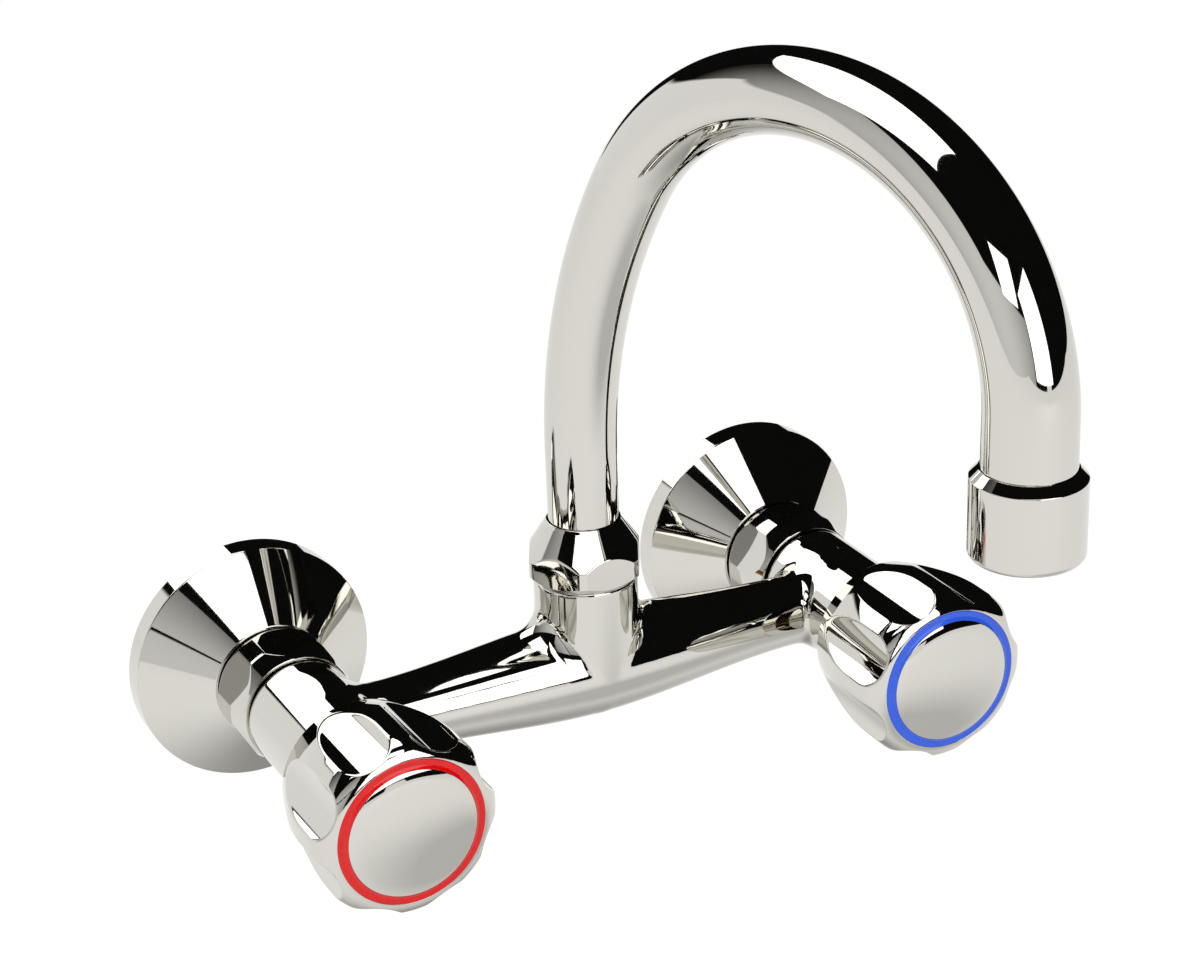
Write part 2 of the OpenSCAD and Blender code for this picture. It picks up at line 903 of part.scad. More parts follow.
// Cartridge: a cup with a flange above and a honeycomb floor
module aerator_cartridge() {
    cup_r = cartridge_r - cartridge_wall;
    color(white_plastic)
    at_outlet()
    difference() {
        union() {
            rod(cartridge_r, cartridge_bottom, cartridge_top);
            rod(outlet_r - 0.3, cartridge_step, cartridge_top);
        }
        rod(cup_r, cartridge_bottom + honeycomb_t, cartridge_top + eps);
        for (p = cells(2.35 * cell_r + 0.5, cup_r - cell_r))
            translate([p[0], p[1], 0])
                rod(cell_r, cartridge_bottom - eps, cartridge_bottom + honeycomb_t + eps, $fn = 16);
    }
}

// Diffuser plate inside the cartridge, with a ring of small holes
module aerator_diffuser() {
    plate_z = cartridge_step - 1;
    hole_count = 18;
    color(white_plastic)
    at_outlet()
    difference() {
        rod(cartridge_r - cartridge_wall - slide_gap, plate_z - 1.6, plate_z);
        for (i = [0 : hole_count - 1])
            rotate([0, 0, 360 * i / hole_count])
                translate([cartridge_r - cartridge_wall - 1.8, 0, 0])
                    rod(0.5, plate_z - 2, plate_z + 1, $fn = 16);
    }
}

// Inlet screen that rests on the diffuser
module aerator_screen() {
    screen_z = cartridge_step - 1;
    color(steel)
    at_outlet()
    difference() {
        rod(cartridge_r - cartridge_wall - slide_gap, screen_z, screen_z + 0.6);
        for (p = cells(2.4, cartridge_r - cartridge_wall - 1.6))
            translate([p[0], p[1], 0])
                rod(0.7, screen_z - 1, screen_z + 2, $fn = 16);
    }
}

mixer_body();
wall_union(-1);  // hot_wall_union
wall_union(1);  // cold_wall_union
wall_plate(-1);  // hot_wall_plate
wall_plate(1);  // cold_wall_plate
inlet_gasket(-1);  // hot_inlet_gasket
inlet_gasket(1);  // cold_inlet_gasket
inlet_nipple(-1);  // hot_inlet_nipple
inlet_nipple(1);  // cold_inlet_nipple
union_nut(-1);  // hot_union_nut
union_nut(1);  // cold_union_nut
bonnet_gasket(-1);  // hot_bonnet_gasket
bonnet_gasket(1);  // cold_bonnet_gasket
bonnet(-1);  // hot_bonnet
bonnet(1);  // cold_bonnet
valve_plug(-1);  // hot_valve_plug
valve_plug(1);  // cold_valve_plug
plug_washer(-1);  // hot_plug_washer
plug_washer(1);  // cold_plug_washer
plug_screw(-1);  // hot_plug_screw
plug_screw(1);  // cold_plug_screw
spindle(-1);  // hot_spindle
spindle(1);  // cold_spindle
spindle_seal(-1);  // hot_spindle_seal
spindle_seal(1);  // cold_spindle_seal
circlip(-1);  // hot_circlip
circlip(1);  // cold_circlip
spline_insert(-1);  // hot_spline_insert
spline_insert(1);  // cold_spline_insert
knob(-1);  // hot_knob
knob(1);  // cold_knob
knob_screw(-1);  // hot_knob_screw
knob_screw(1);  // cold_knob_screw
index_ring(-1);  // hot_index_ring
index_ring(1);  // cold_index_ring
cap(-1);  // hot_cap
cap(1);  // cold_cap
spout_nut();
lower_glide_ring();
upper_glide_ring();
spout_collar();
spout_seals();
spout_tube();
outlet_ferrule();
aerator_housing();
aerator_washer();
aerator_cartridge();
aerator_diffuser();
aerator_screen();
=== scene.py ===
"""Dresses the wall-mounted sink mixer: polished skins on its CAD bodies, finishes and a studio."""

import json
import math

import bpy
import numpy as np
from bpy.props import FloatProperty, FloatVectorProperty, IntProperty, PointerProperty
from mathutils import Matrix, Vector


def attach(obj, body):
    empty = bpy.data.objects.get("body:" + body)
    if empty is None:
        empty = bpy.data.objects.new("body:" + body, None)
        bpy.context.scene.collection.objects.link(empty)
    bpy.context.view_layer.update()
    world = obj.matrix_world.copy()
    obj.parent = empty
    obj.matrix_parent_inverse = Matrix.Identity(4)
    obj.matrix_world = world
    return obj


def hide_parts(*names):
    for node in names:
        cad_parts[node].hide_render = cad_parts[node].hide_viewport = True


bl_info = {
    "name": "Wall-mounted sink mixer",
    "version": (1, 0, 0),
    "blender": (4, 5, 0),
    "location": "View3D > Sidebar > Mixer",
    "description": "Builds the visible skins, finishes and studio of a wall-mounted sink mixer",
    "category": "Object",
}

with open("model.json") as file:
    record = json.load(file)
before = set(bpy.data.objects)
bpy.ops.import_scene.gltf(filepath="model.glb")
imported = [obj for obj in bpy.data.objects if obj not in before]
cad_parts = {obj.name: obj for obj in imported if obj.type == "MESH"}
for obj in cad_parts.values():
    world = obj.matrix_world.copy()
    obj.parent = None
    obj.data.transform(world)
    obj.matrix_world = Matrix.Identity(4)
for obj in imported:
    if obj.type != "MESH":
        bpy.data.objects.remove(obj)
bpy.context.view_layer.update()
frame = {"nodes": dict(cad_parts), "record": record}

MM = 0.001
SIDES = {"hot": -1, "cold": 1}
MOUNTS = {m["name"]: m["dims"] for m in frame["record"]["mounts"]}
SPACING = MOUNTS["wall_inlets"]["spacing_x_mm"]
THREAD_R = MOUNTS["hot_inlet_thread"]["r_mm"]

# Fixed sizes in millimetres, as the CAD solids have them: depths from the wall along an inlet's
# axis, heights above the bridge's axis, and radii
UNION_OFFSET = 5.0
UNION_END = 27.0
UNION_THREAD_R = 13.22
UNION_CLEAR_R = 13.27
PLATE_DEPTH = 19.0
NUT_BACK = 19.5
NUT_FRONT = 37.5
NUT_EDGE = 0.16
SHOULDER = 32.4
BODY_BACK = 38.5
CHAMBER_R = 14.3
BRIDGE_DEPTH = 51.7
MOUTH = 72.0
RISER_R = 13.4
RISER_HEIGHT = 26.2
RISER_TOP = 33.2
RISER_THREAD_R = 12.0
KNOB_BACK = 74.2
KNOB_FRONT = 107.3
SHELF = 103.2
COLLAR_TOP = 36.8
NUT_SHOULDER = 37.8
SPOUT_NUT_BOTTOM = 26.5
SPOUT_NUT_TOP = 41.8
SWING = math.radians(20)
LEAN_R = 150.0
ARCH_R = 61.6
LEAN = math.radians(29.94)
SPOUT_REACH = LEAN_R * (1 - math.cos(LEAN)) + ARCH_R * (1 + math.cos(LEAN))


# ---------------------------------------------------------------- places

def on_inlet(side):
    """Local z is the depth from the wall along an inlet's axis, and local y is up."""
    centre = side * SPACING / 2
    return lambda p: np.stack([centre + p[..., 0], -p[..., 2], p[..., 1] - UNION_OFFSET], -1) * MM


def on_riser():
    """Local z is the height above the bridge's axis, on the riser's axis."""
    return lambda p: (p + np.array([0, -BRIDGE_DEPTH, -UNION_OFFSET])) * MM


def in_spout(reach=0.0):
    """Local x points from the riser to the outlet, at the spout's swing at rest."""
    turn = SWING - math.pi / 2
    c, s = math.cos(turn), math.sin(turn)

    def place(p):
        x, y = p[..., 0] + reach, p[..., 1]
        across, ahead = x * c - y * s, x * s + y * c - BRIDGE_DEPTH
        return np.stack([across, ahead, p[..., 2] - UNION_OFFSET], -1) * MM

    return place


# ---------------------------------------------------------------- meshes

def volume_of(mesh):
    """Volume inside a closed mesh, below zero where its faces look inward."""
    mesh.calc_loop_triangles()
    corners = np.empty(len(mesh.loop_triangles) * 3, int)
    mesh.loop_triangles.foreach_get("vertices", corners)
    points = np.empty(len(mesh.vertices) * 3)
    mesh.vertices.foreach_get("co", points)
    a, b, c = points.reshape(-1, 3)[corners].reshape(-1, 3, 3).transpose(1, 0, 2)
    return (a * np.cross(b, c)).sum() / 6


def make_piece(name, points, faces, finish, body, replaced=()):
    """A smooth mesh object that rides on a body and wears one finish."""
    mesh = bpy.data.meshes.new(name)
    mesh.from_pydata(points.tolist(), [], faces)
    mesh.validate()
    if volume_of(mesh) < 0:
        mesh.flip_normals()
    mesh.shade_smooth()
    mesh.materials.append(finish)
    piece = bpy.data.objects.new(name, mesh)
    bpy.context.scene.collection.objects.link(piece)
    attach(piece, body)
    if replaced:
        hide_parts(*replaced)
    return piece


def rounded(corners, step=0.6):
    """A closed outline through (r, z, fillet) corners: arcs at them, and points along the sides."""
    nearly_straight, arc_step, gap = 1.55, 0.2, 0.12
    count = len(corners)
    arcs = []
    for i, (x, y, fillet) in enumerate(corners):
        here = np.array([x, y])
        before = np.array(corners[i - 1][:2]) - here
        after = np.array(corners[(i + 1) % count][:2]) - here
        before_len, after_len = np.linalg.norm(before), np.linalg.norm(after)
        a, b = before / before_len, after / after_len
        half = math.acos(max(-1, min(1, a @ b))) / 2
        longest = 0.45 * min(before_len, after_len)
        cut = min(fillet / math.tan(half), longest) if half < nearly_straight else 0
        if cut < 1e-4:
            arcs.append([here])
            continue
        radius = cut * math.tan(half)
        centre = here + (a + b) / np.linalg.norm(a + b) * radius / math.sin(half)
        start, end = here + a * cut - centre, here + b * cut - centre
        sweep = math.pi - 2 * half
        steps = max(2, math.ceil(sweep / arc_step))
        turn = [math.sin(sweep * (1 - t)) * start + math.sin(sweep * t) * end
                for t in np.linspace(0, 1, steps + 1)]
        arcs.append([centre + p / math.sin(sweep) for p in turn])
    outline = []
    for i, arc in enumerate(arcs):
        outline += arc
        start, end = arc[-1], arcs[(i + 1) % count][0]
        length = np.linalg.norm(end - start)
        if length > 2.5 * gap:
            # Points close to both arcs keep the side's shading flat
            inner = np.linspace(gap / length, 1 - gap / length, max(2, math.ceil(length / step)))
            outline += [start + (end - start) * t for t in inner]
    return np.array(outline)


def revolve(rings):
    """Points and faces of a closed loop of rings, from an array of (ring, point round it, xyz)."""
    rows, around = rings.shape[:2]
    index = np.arange(rows * around).reshape(rows, around)
    a, b = index, np.roll(index, -1, 0)
    faces = np.stack([a, np.roll(a, -1, 1), np.roll(b, -1, 1), b], -1).reshape(-1, 4)
    return rings.reshape(-1, 3), faces


def welded(points, faces):
    """The same mesh with each ring of radius 0 drawn together to one point, and no empty face."""
    keys = np.round(points, 5)
    kept, where = np.unique(keys, axis=0, return_inverse=True)
    where = where.reshape(-1)
    result = []
    for face in where[faces]:
        corners = [int(c) for i, c in enumerate(face) if c != face[i - 1]]
        if len(set(corners)) >= 3:
            result.append(corners)
    return kept, result


def turned(outline, around, radius=None):
    """Rings of a turned piece. radius(r, z, angle) may cut them down, as flats and flutes do."""
    angle = np.linspace(0, 2 * math.pi, around, endpoint=False)
    r = np.repeat(outline[:, :1], around, 1)
    z = np.repeat(outline[:, 1:2], around, 1)
    if radius is not None:
        r = radius(r, z, np.broadcast_to(angle, r.shape))
    return np.stack([r * np.cos(angle), r * np.sin(angle), z], -1)


def soft_min(a, b, width):
    """The smaller of two values, with the edge between them rounded over a width."""
    share = np.clip(width - np.abs(a - b), 0, None) / width
    return np.minimum(a, b) - share * share * width / 4


def hexagon_radius(angle, across, turn=0.0):
    """Distance from the axis to the flats of a hexagon whose corner is at the angle turn."""
    from_flat = np.mod(angle - turn, math.pi / 3) - math.pi / 6
    return across / 2 / np.cos(from_flat)


# ---------------------------------------------------------------- finishes

def linear(hex_colour):
    """A colour written as sRGB hex, as linear red, green, blue and alpha."""
    parts = [int(hex_colour[i:i + 2], 16) / 255 for i in (1, 3, 5)]
    return (*[p / 12.92 if p <= 0.04045 else ((p + 0.055) / 1.055) ** 2.4 for p in parts], 1.0)


def add(tree, kind, inputs=None, **settings):
    """Adds a node, with its settings, and with inputs as values or as sockets to link."""
    made = tree.nodes.new(kind)
    for key, value in settings.items():
        setattr(made, key, value)
    for key, value in (inputs or {}).items():
        if isinstance(value, bpy.types.NodeSocket):
            tree.links.new(value, made.inputs[key])
        else:
            made.inputs[key].default_value = value
    return made


def new_finish(name, colour, metallic, roughness):
    """A material with its Principled shader, and its place in the object in millimetres."""
    finish = bpy.data.materials.new(name)
    finish.use_nodes = True
    tree = finish.node_tree
    shader = tree.nodes["Principled BSDF"]
    shader.inputs["Base Color"].default_value = colour
    shader.inputs["Metallic"].default_value = metallic
    shader.inputs["Roughness"].default_value = roughness
    place = add(tree, "ShaderNodeTexCoord").outputs["Object"]
    scaled = add(tree, "ShaderNodeVectorMath", {0: place, "Scale": 1 / MM}, operation="SCALE")
    return finish, tree, shader, scaled.outputs["Vector"]


def vary_gloss(tree, shader, place, size_mm, low, high):
    """Lets the roughness vary in patches about size_mm wide, and returns the patches."""
    patches = add(tree, "ShaderNodeTexNoise", {
        "Vector": place, "Scale": 1 / size_mm, "Detail": 2.0}).outputs["Fac"]
    rough = add(tree, "ShaderNodeMapRange", {"Value": patches, "To Min": low, "To Max": high})
    tree.links.new(rough.outputs["Result"], shader.inputs["Roughness"])
    return patches


def grain(tree, shader, place, size_mm, strength, depth_mm, detail=2.0):
    """Uneven relief with bumps about size_mm wide."""
    bumps = add(tree, "ShaderNodeTexNoise", {
        "Vector": place, "Scale": 1 / size_mm, "Detail": detail})
    relief = add(tree, "ShaderNodeBump", {
        "Height": bumps.outputs["Fac"], "Strength": strength, "Distance": depth_mm * MM})
    tree.links.new(relief.outputs["Normal"], shader.inputs["Normal"])


def tool_rings(tree, shader, place, spacing_mm, wander, strength, depth_mm):
    """The rings that a lathe tool leaves, drawn twice as coarse as they are, so that they show."""
    # Bands of this scale are 2 mm apart
    two_mm = 1 / 6.3
    bands = add(tree, "ShaderNodeTexWave", {
        "Vector": place, "Scale": two_mm / spacing_mm, "Distortion": wander}, bands_direction="Y")
    relief = add(tree, "ShaderNodeBump", {
        "Height": bands.outputs["Fac"], "Strength": strength, "Distance": depth_mm * MM})
    tree.links.new(relief.outputs["Normal"], shader.inputs["Normal"])


def polished_chrome(colour):
    """Bright chrome plate over polished brass: a mirror, with the faintest haze from buffing."""
    finish, tree, shader, place = new_finish("polished_chrome_plate", colour, 1.0, 0.03)
    vary_gloss(tree, shader, place, 24.0, 0.015, 0.045)
    # Buffing leaves waves a few millimetres long and about a micrometre high
    grain(tree, shader, place, 7.0, 0.05, 0.02, detail=1.0)
    return finish


def turned_brass(colour):
    """Machined brass: warm metal with tool rings, and a little darker where it has tarnished."""
    finish, tree, shader, place = new_finish("turned_brass", colour, 1.0, 0.28)
    stains = vary_gloss(tree, shader, place, 9.0, 0.2, 0.4)
    tone = add(tree, "ShaderNodeMix", {"Factor": stains, "A": colour, "B": linear("#A8874C")},
               data_type="RGBA")
    tree.links.new(tone.outputs["Result"], shader.inputs["Base Color"])
    tool_rings(tree, shader, place, 0.35, 0.4, 0.3, 0.03)
    return finish


def nitrile_rubber(colour):
    """Moulded nitrile rubber: near black, dull, with a fine grain and a trace of bloom."""
    finish, tree, shader, place = new_finish("moulded_nitrile_rubber", colour, 0.0, 0.65)
    bloom = add(tree, "ShaderNodeTexNoise", {"Vector": place, "Scale": 1 / 3.0, "Detail": 2.0})
    tone = add(tree, "ShaderNodeMix", {
        "Factor": bloom.outputs["Fac"], "A": colour, "B": linear("#2B2B2A")}, data_type="RGBA")
    tree.links.new(tone.outputs["Result"], shader.inputs["Base Color"])
    # The mould's grain, drawn coarser than it is so that it shows
    grain(tree, shader, place, 0.4, 0.4, 0.03)
    return finish


def moulded_acetal(colour):
    """Injection-moulded acetal: waxy white, half matt, with a slight unevenness of gloss."""
    finish, tree, shader, place = new_finish("moulded_white_acetal", colour, 0.0, 0.4)
    vary_gloss(tree, shader, place, 2.0, 0.32, 0.5)
    # The mould's grain, drawn coarser than it is so that it shows
    grain(tree, shader, place, 0.6, 0.2, 0.02)
    return finish


def stainless_steel(colour):
    """Turned stainless steel: grey metal with faint rings and a soft gloss."""
    finish, tree, shader, place = new_finish("turned_stainless_steel", colour, 1.0, 0.3)
    vary_gloss(tree, shader, place, 1.2, 0.24, 0.38)
    tool_rings(tree, shader, place, 0.3, 0.3, 0.25, 0.02)
    return finish


def index_plastic(name, colour, deep):
    """Moulded acrylic for the index rings: clean, glossy colour, a little deeper in patches."""
    finish, tree, shader, place = new_finish(name, colour, 0.0, 0.12)
    patches = vary_gloss(tree, shader, place, 6.0, 0.08, 0.16)
    share = add(tree, "ShaderNodeMapRange", {"Value": patches, "To Min": 0.0, "To Max": 0.5})
    tone = add(tree, "ShaderNodeMix", {
        "Factor": share.outputs["Result"], "A": colour, "B": deep}, data_type="RGBA")
    tree.links.new(tone.outputs["Result"], shader.inputs["Base Color"])
    # Sink marks of a small moulding, wider than a millimetre and hardly deep
    grain(tree, shader, place, 1.5, 0.1, 0.02)
    return finish


FINISHES = {}


def finish_for(slot):
    """The finish of a material slot of the record, made once."""
    colours = bpy.context.scene.mixer_colours
    if not FINISHES:
        FINISHES.update({
            "chrome": polished_chrome((*colours.chrome, 1.0)),
            "brass": turned_brass((*colours.brass, 1.0)),
            "rubber": nitrile_rubber((*colours.rubber, 1.0)),
            "white_plastic": moulded_acetal((*colours.acetal, 1.0)),
            "steel": stainless_steel((*colours.steel, 1.0)),
            "hot_red": index_plastic("red_acrylic", (*colours.hot, 1.0), linear("#B00202")),
            "cold_blue": index_plastic("blue_acrylic", (*colours.cold, 1.0), linear("#1D45C8")),
        })
    return FINISHES[slot]


# ---------------------------------------------------------------- what a user may change

class MixerSizes(bpy.types.PropertyGroup):
    """Sizes of the visible skins."""

    plate_radius: FloatProperty(
        name="Wall plate radius", description="Outer radius of a wall plate",
        default=32.1 * MM, unit="LENGTH")
    plate_rim: FloatProperty(
        name="Wall plate rim", description="Depth of a wall plate's straight rim",
        default=6.4 * MM, unit="LENGTH")
    nut_across: FloatProperty(
        name="Union nut across flats", description="Width of a union nut across its flats",
        default=30.2 * MM, unit="LENGTH")
    knob_radius: FloatProperty(
        name="Knob radius", description="Largest radius of a knob",
        default=23.7 * MM, unit="LENGTH")
    flute_count: IntProperty(
        name="Finger flutes", description="Number of flutes round a knob", default=8, min=6, max=8)
    flute_depth: FloatProperty(
        name="Flute depth", description="Depth of a flute below the knob's largest radius",
        default=3.1 * MM, unit="LENGTH")
    flute_edge: FloatProperty(
        name="Flute edge", description="Width over which a flute's edge is rounded",
        default=0.45 * MM, unit="LENGTH")
    spout_nut_across: FloatProperty(
        name="Spout nut across flats", description="Width of the spout nut across its flats",
        default=27.8 * MM, unit="LENGTH")
    thread_pitch: FloatProperty(
        name="Wall thread pitch", description="Pitch of the pipe thread that goes into the wall",
        default=1.814 * MM, unit="LENGTH")


class MixerColours(bpy.types.PropertyGroup):
    """Base colours of the finishes."""

    chrome: FloatVectorProperty(
        name="Chrome", description="Tint of the chrome plate", subtype="COLOR",
        default=linear("#D8D6CF")[:3], min=0, max=1)
    brass: FloatVectorProperty(
        name="Brass", description="Colour of bare brass", subtype="COLOR",
        default=linear("#C9A96C")[:3], min=0, max=1)
    rubber: FloatVectorProperty(
        name="Rubber", description="Colour of the seals", subtype="COLOR",
        default=linear("#1A1A1A")[:3], min=0, max=1)
    acetal: FloatVectorProperty(
        name="Acetal", description="Colour of the white mouldings", subtype="COLOR",
        default=linear("#EAEAE5")[:3], min=0, max=1)
    steel: FloatVectorProperty(
        name="Steel", description="Colour of the stainless pieces", subtype="COLOR",
        default=linear("#B6B8BA")[:3], min=0, max=1)
    hot: FloatVectorProperty(
        name="Hot", description="Colour of the hot side's index ring", subtype="COLOR",
        default=linear("#D50202")[:3], min=0, max=1)
    cold: FloatVectorProperty(
        name="Cold", description="Colour of the cold side's index ring", subtype="COLOR",
        default=linear("#2A5AD4")[:3], min=0, max=1)


class MixerStudio(bpy.types.PropertyGroup):
    """Light levels of the studio."""

    ambient: FloatProperty(
        name="Ambient", description="Share of the plain level that comes from all round",
        default=0.62, min=0, max=2)
    softbox: FloatProperty(
        name="Softbox", description="Brightness of the white softboxes that the metal mirrors",
        default=2.2, min=0, max=10)
    floor_drop: FloatProperty(
        name="Floor drop", description="Height of the wall threads above the floor",
        default=0.34, unit="LENGTH")


# ---------------------------------------------------------------- pieces

def mm(value):
    """A length property in millimetres."""
    return value / MM


class MIXER_OT_wall_plates(bpy.types.Operator):
    """Pressed wall plates, with rolled edges and an open back"""

    bl_idname = "mixer.wall_plates"
    bl_label = "Wall plates"

    def execute(self, context):
        sizes = context.scene.mixer_sizes
        radius, rim = mm(sizes.plate_radius), mm(sizes.plate_rim)
        sheet, throat, roof = 1.2, 15.5, PLATE_DEPTH - 3.2
        outline = rounded([
            (radius - sheet, 0, 0.2), (radius, 0, 0.3), (radius, rim, 0.45),
            (throat, PLATE_DEPTH, 0.5), (UNION_CLEAR_R, PLATE_DEPTH, 0.3),
            (UNION_CLEAR_R, roof, 0.2), (throat - sheet, roof, 0.2),
            (radius - sheet, rim - sheet / 2, 1.0)])
        points, faces = revolve(turned(outline, 256))
        for name, side in SIDES.items():
            make_piece(f"{name}_plate_shell", on_inlet(side)(points), faces.tolist(),
                       finish_for("chrome"), "mixer", [f"{name}_wall_plate"])
        return {"FINISHED"}


class MIXER_OT_union_nuts(bpy.types.Operator):
    """Union nuts: hexagons with both ends turned down and their corners cut to a cylinder"""

    bl_idname = "mixer.union_nuts"
    bl_label = "Union nuts"

    def execute(self, context):
        across = mm(context.scene.mixer_sizes.nut_across)
        face, corner, bore, turn = across / 2, 16.3, 9.8, math.radians(-0.5)
        outline = rounded([
            (UNION_CLEAR_R, NUT_BACK, 0.2), (face - 0.4, NUT_BACK, 0.15),
            (face, NUT_BACK + 0.8, 0.1), (corner, NUT_BACK + 3.4, 0.3),
            (corner, NUT_FRONT - 5.6, 0.4), (face - 0.5, NUT_FRONT, 0.3), (bore, NUT_FRONT, 0.2),
            (bore, SHOULDER, 0.1), (UNION_CLEAR_R, SHOULDER, 0.1)], 0.3)

        def flats(r, z, angle):
            flat = hexagon_radius(angle, across, turn)
            return np.where(r > UNION_CLEAR_R + 0.33, soft_min(r, flat, NUT_EDGE), r)

        points, faces = revolve(turned(outline, 720, flats))
        for name, side in SIDES.items():
            make_piece(f"{name}_hex_nut", on_inlet(side)(points), faces.tolist(),
                       finish_for("chrome"), "mixer", [f"{name}_union_nut"])
        return {"FINISHED"}


class MIXER_OT_spout_nut(bpy.types.Operator):
    """Spout nut: a hexagon below, turned to a tall cone with a lip above"""

    bl_idname = "mixer.spout_nut"
    bl_label = "Spout nut"

    def execute(self, context):
        across = mm(context.scene.mixer_sizes.spout_nut_across)
        bottom, top = SPOUT_NUT_BOTTOM, SPOUT_NUT_TOP
        corner, thread, collar, bore = 15.5, RISER_THREAD_R + 0.05, 11.0, 9.3
        turn = math.radians(1.0)
        outline = rounded([
            (thread, bottom, 0.2), (across / 2 - 0.1, bottom, 0.15), (corner, bottom + 1.6, 0.3),
            (corner, top - 9.2, 0.3), (bore + 0.7, top - 0.8, 0.3), (bore + 0.2, top, 0.15),
            (bore, top, 0.05), (bore, NUT_SHOULDER, 0.1), (collar, NUT_SHOULDER, 0.1),
            (collar, RISER_TOP + 0.1, 0.1), (thread, RISER_TOP, 0.1)], 0.3)

        def flats(r, z, angle):
            flat = hexagon_radius(angle, across, turn)
            outside = (r > thread + 0.35) | (z > NUT_SHOULDER + 0.5)
            return np.where(outside, soft_min(r, flat, NUT_EDGE), r)

        points, faces = revolve(turned(outline, 720, flats))
        make_piece("spout_hex_nut", on_riser()(points), faces.tolist(),
                   finish_for("chrome"), "mixer", ["spout_nut"])
        return {"FINISHED"}


class MIXER_OT_knobs(bpy.types.Operator):
    """Knobs with oval finger flutes, their index rings and their domed caps"""

    bl_idname = "mixer.knobs"
    bl_label = "Knobs, index rings and caps"

    def execute(self, context):
        sizes = context.scene.mixer_sizes
        largest, count = mm(sizes.knob_radius), sizes.flute_count
        floor, edge = largest - mm(sizes.flute_depth), mm(sizes.flute_edge)
        # The skirt swells from its back edge to the widest place and rolls over toward the ring
        back, swell_end, roll, cutter = largest - 4.3, KNOB_FRONT - 11.5, 6.0, 12.0
        swell = [(back + (largest - back) * math.sin(math.pi / 2 * t),
                  KNOB_BACK + (swell_end - KNOB_BACK) * t, 0) for t in np.linspace(0, 1, 40)]
        swell[0] = (back, KNOB_BACK, 0.4)
        nose = [(largest - roll + roll * math.cos(a), KNOB_FRONT - roll + roll * math.sin(a), 0)
                for a in np.radians(np.linspace(0, 78, 26))]
        # Inside: the ring's seat, the well under the cap, the screw's hole, the socket, the skirt
        seat, well, screw, socket, skirt = 18.98, 15.85, 2.3, 6.5, 15.7
        well_floor, web_back, socket_mouth = 96.8, 94.8, 88.0
        outline = rounded(
            swell + nose + [
                (seat, SHELF, 0.1), (well, SHELF, 0.1), (well, well_floor, 0.1),
                (screw, well_floor, 0.1), (screw, web_back, 0.1), (socket, web_back, 0.1),
                (socket, socket_mouth, 0.1), (skirt, socket_mouth - 0.1, 0.2),
                (skirt, KNOB_BACK, 0.3)], 0.35)
        socket_across = 13.1

        def fluted(r, z, angle):
            spacing = 2 * math.pi / count
            off = np.mod(angle, spacing) - spacing / 2
            reach = floor + cutter
            aside = reach * np.sin(off)
            inside = np.clip(cutter ** 2 - aside ** 2, 0, None)
            flute = reach * np.cos(off) - np.sqrt(inside)
            flute = np.where(np.abs(aside) < cutter, flute, 2 * largest)
            in_socket = (z > socket_mouth - 0.5) & (z < web_back + 0.7)
            hexed = (np.abs(r - socket) < 0.2) & in_socket
            outside = np.where(r > seat + 0.01, soft_min(r, flute, edge), r)
            return np.where(hexed, hexagon_radius(angle, socket_across), outside)

        points, faces = revolve(turned(outline, 960, fluted))
        # The ring is flat beside the knob and rises to the cap's rim in a hollow
        ring_r, ring_bore, flat, rise = 18.93, 16.5, 1.48, 0.5
        hollow = [(ring_r - flat - (ring_r - ring_bore - flat) * t,
                   KNOB_FRONT + rise * (0.45 * t + 0.55 * t * t), 0) for t in np.linspace(0, 1, 12)]
        ring = rounded([(ring_bore, SHELF, 0.1), (ring_r, SHELF, 0.1), (ring_r, KNOB_FRONT, 0.28)]
                       + hollow, 0.4)
        ring_points, ring_faces = revolve(turned(ring, 256))
        # The cap's slope, in degrees for each millimetre from its axis, grows faster by the rim
        cap_r, slope, rim_from, rim_slope = 16.45, 0.605, 13.0, 2.2
        radii = np.linspace(0, cap_r, 90)
        tilt = np.radians(radii * slope + np.clip(radii - rim_from, 0, None) * rim_slope)
        fall = np.concatenate([[0], np.cumsum(np.tan((tilt[1:] + tilt[:-1]) / 2) * np.diff(radii))])
        crown = KNOB_FRONT + rise + fall[-1]
        skin = [(r, crown - drop, 0) for r, drop in zip(radii[::-1], fall[::-1])]
        skin[0] = (*skin[0][:2], 0.1)
        lip_in, lip_out, lip_back = 14.45, 15.65, SHELF - 1.6
        cap = rounded(
            [(0, SHELF, 0), (lip_in, SHELF, 0.1), (lip_in, lip_back, 0.1), (lip_out, lip_back, 0.1),
             (lip_out, SHELF, 0.05), (cap_r, SHELF, 0.1)] + skin, 0.5)
        cap[:, 0] = np.clip(cap[:, 0], 0, None)
        cap_points, cap_faces = welded(*revolve(turned(cap, 256)))
        for name, side in SIDES.items():
            body, place = f"{name}_handle", on_inlet(side)
            make_piece(f"{name}_fluted_knob", place(points), faces.tolist(),
                       finish_for("chrome"), body, [f"{name}_knob"])
            colour = "hot_red" if side < 0 else "cold_blue"
            make_piece(f"{name}_colour_ring", place(ring_points), ring_faces.tolist(),
                       finish_for(colour), body, [f"{name}_index_ring"])
            make_piece(f"{name}_domed_cap", place(cap_points), cap_faces,
                       finish_for("chrome"), body, [f"{name}_cap"])
        return {"FINISHED"}


def fillet_union(a, b, radius):
    """Union of two distance fields with a fillet, whose radius may vary from point to point."""
    radius = np.maximum(radius, 1e-6)
    u, v = np.maximum(radius - a, 0), np.maximum(radius - b, 0)
    return np.maximum(radius, np.minimum(a, b)) - np.hypot(u, v)


def rounded_rod(radial, along, low, high, radius, edge):
    """Distance to a rod with rounded ends, from a radial distance and a place along it."""
    x = radial - (radius - edge)
    y = np.abs(along - (low + high) / 2) - ((high - low) / 2 - edge)
    return np.minimum(np.maximum(x, y), 0) + np.hypot(np.maximum(x, 0), np.maximum(y, 0)) - edge


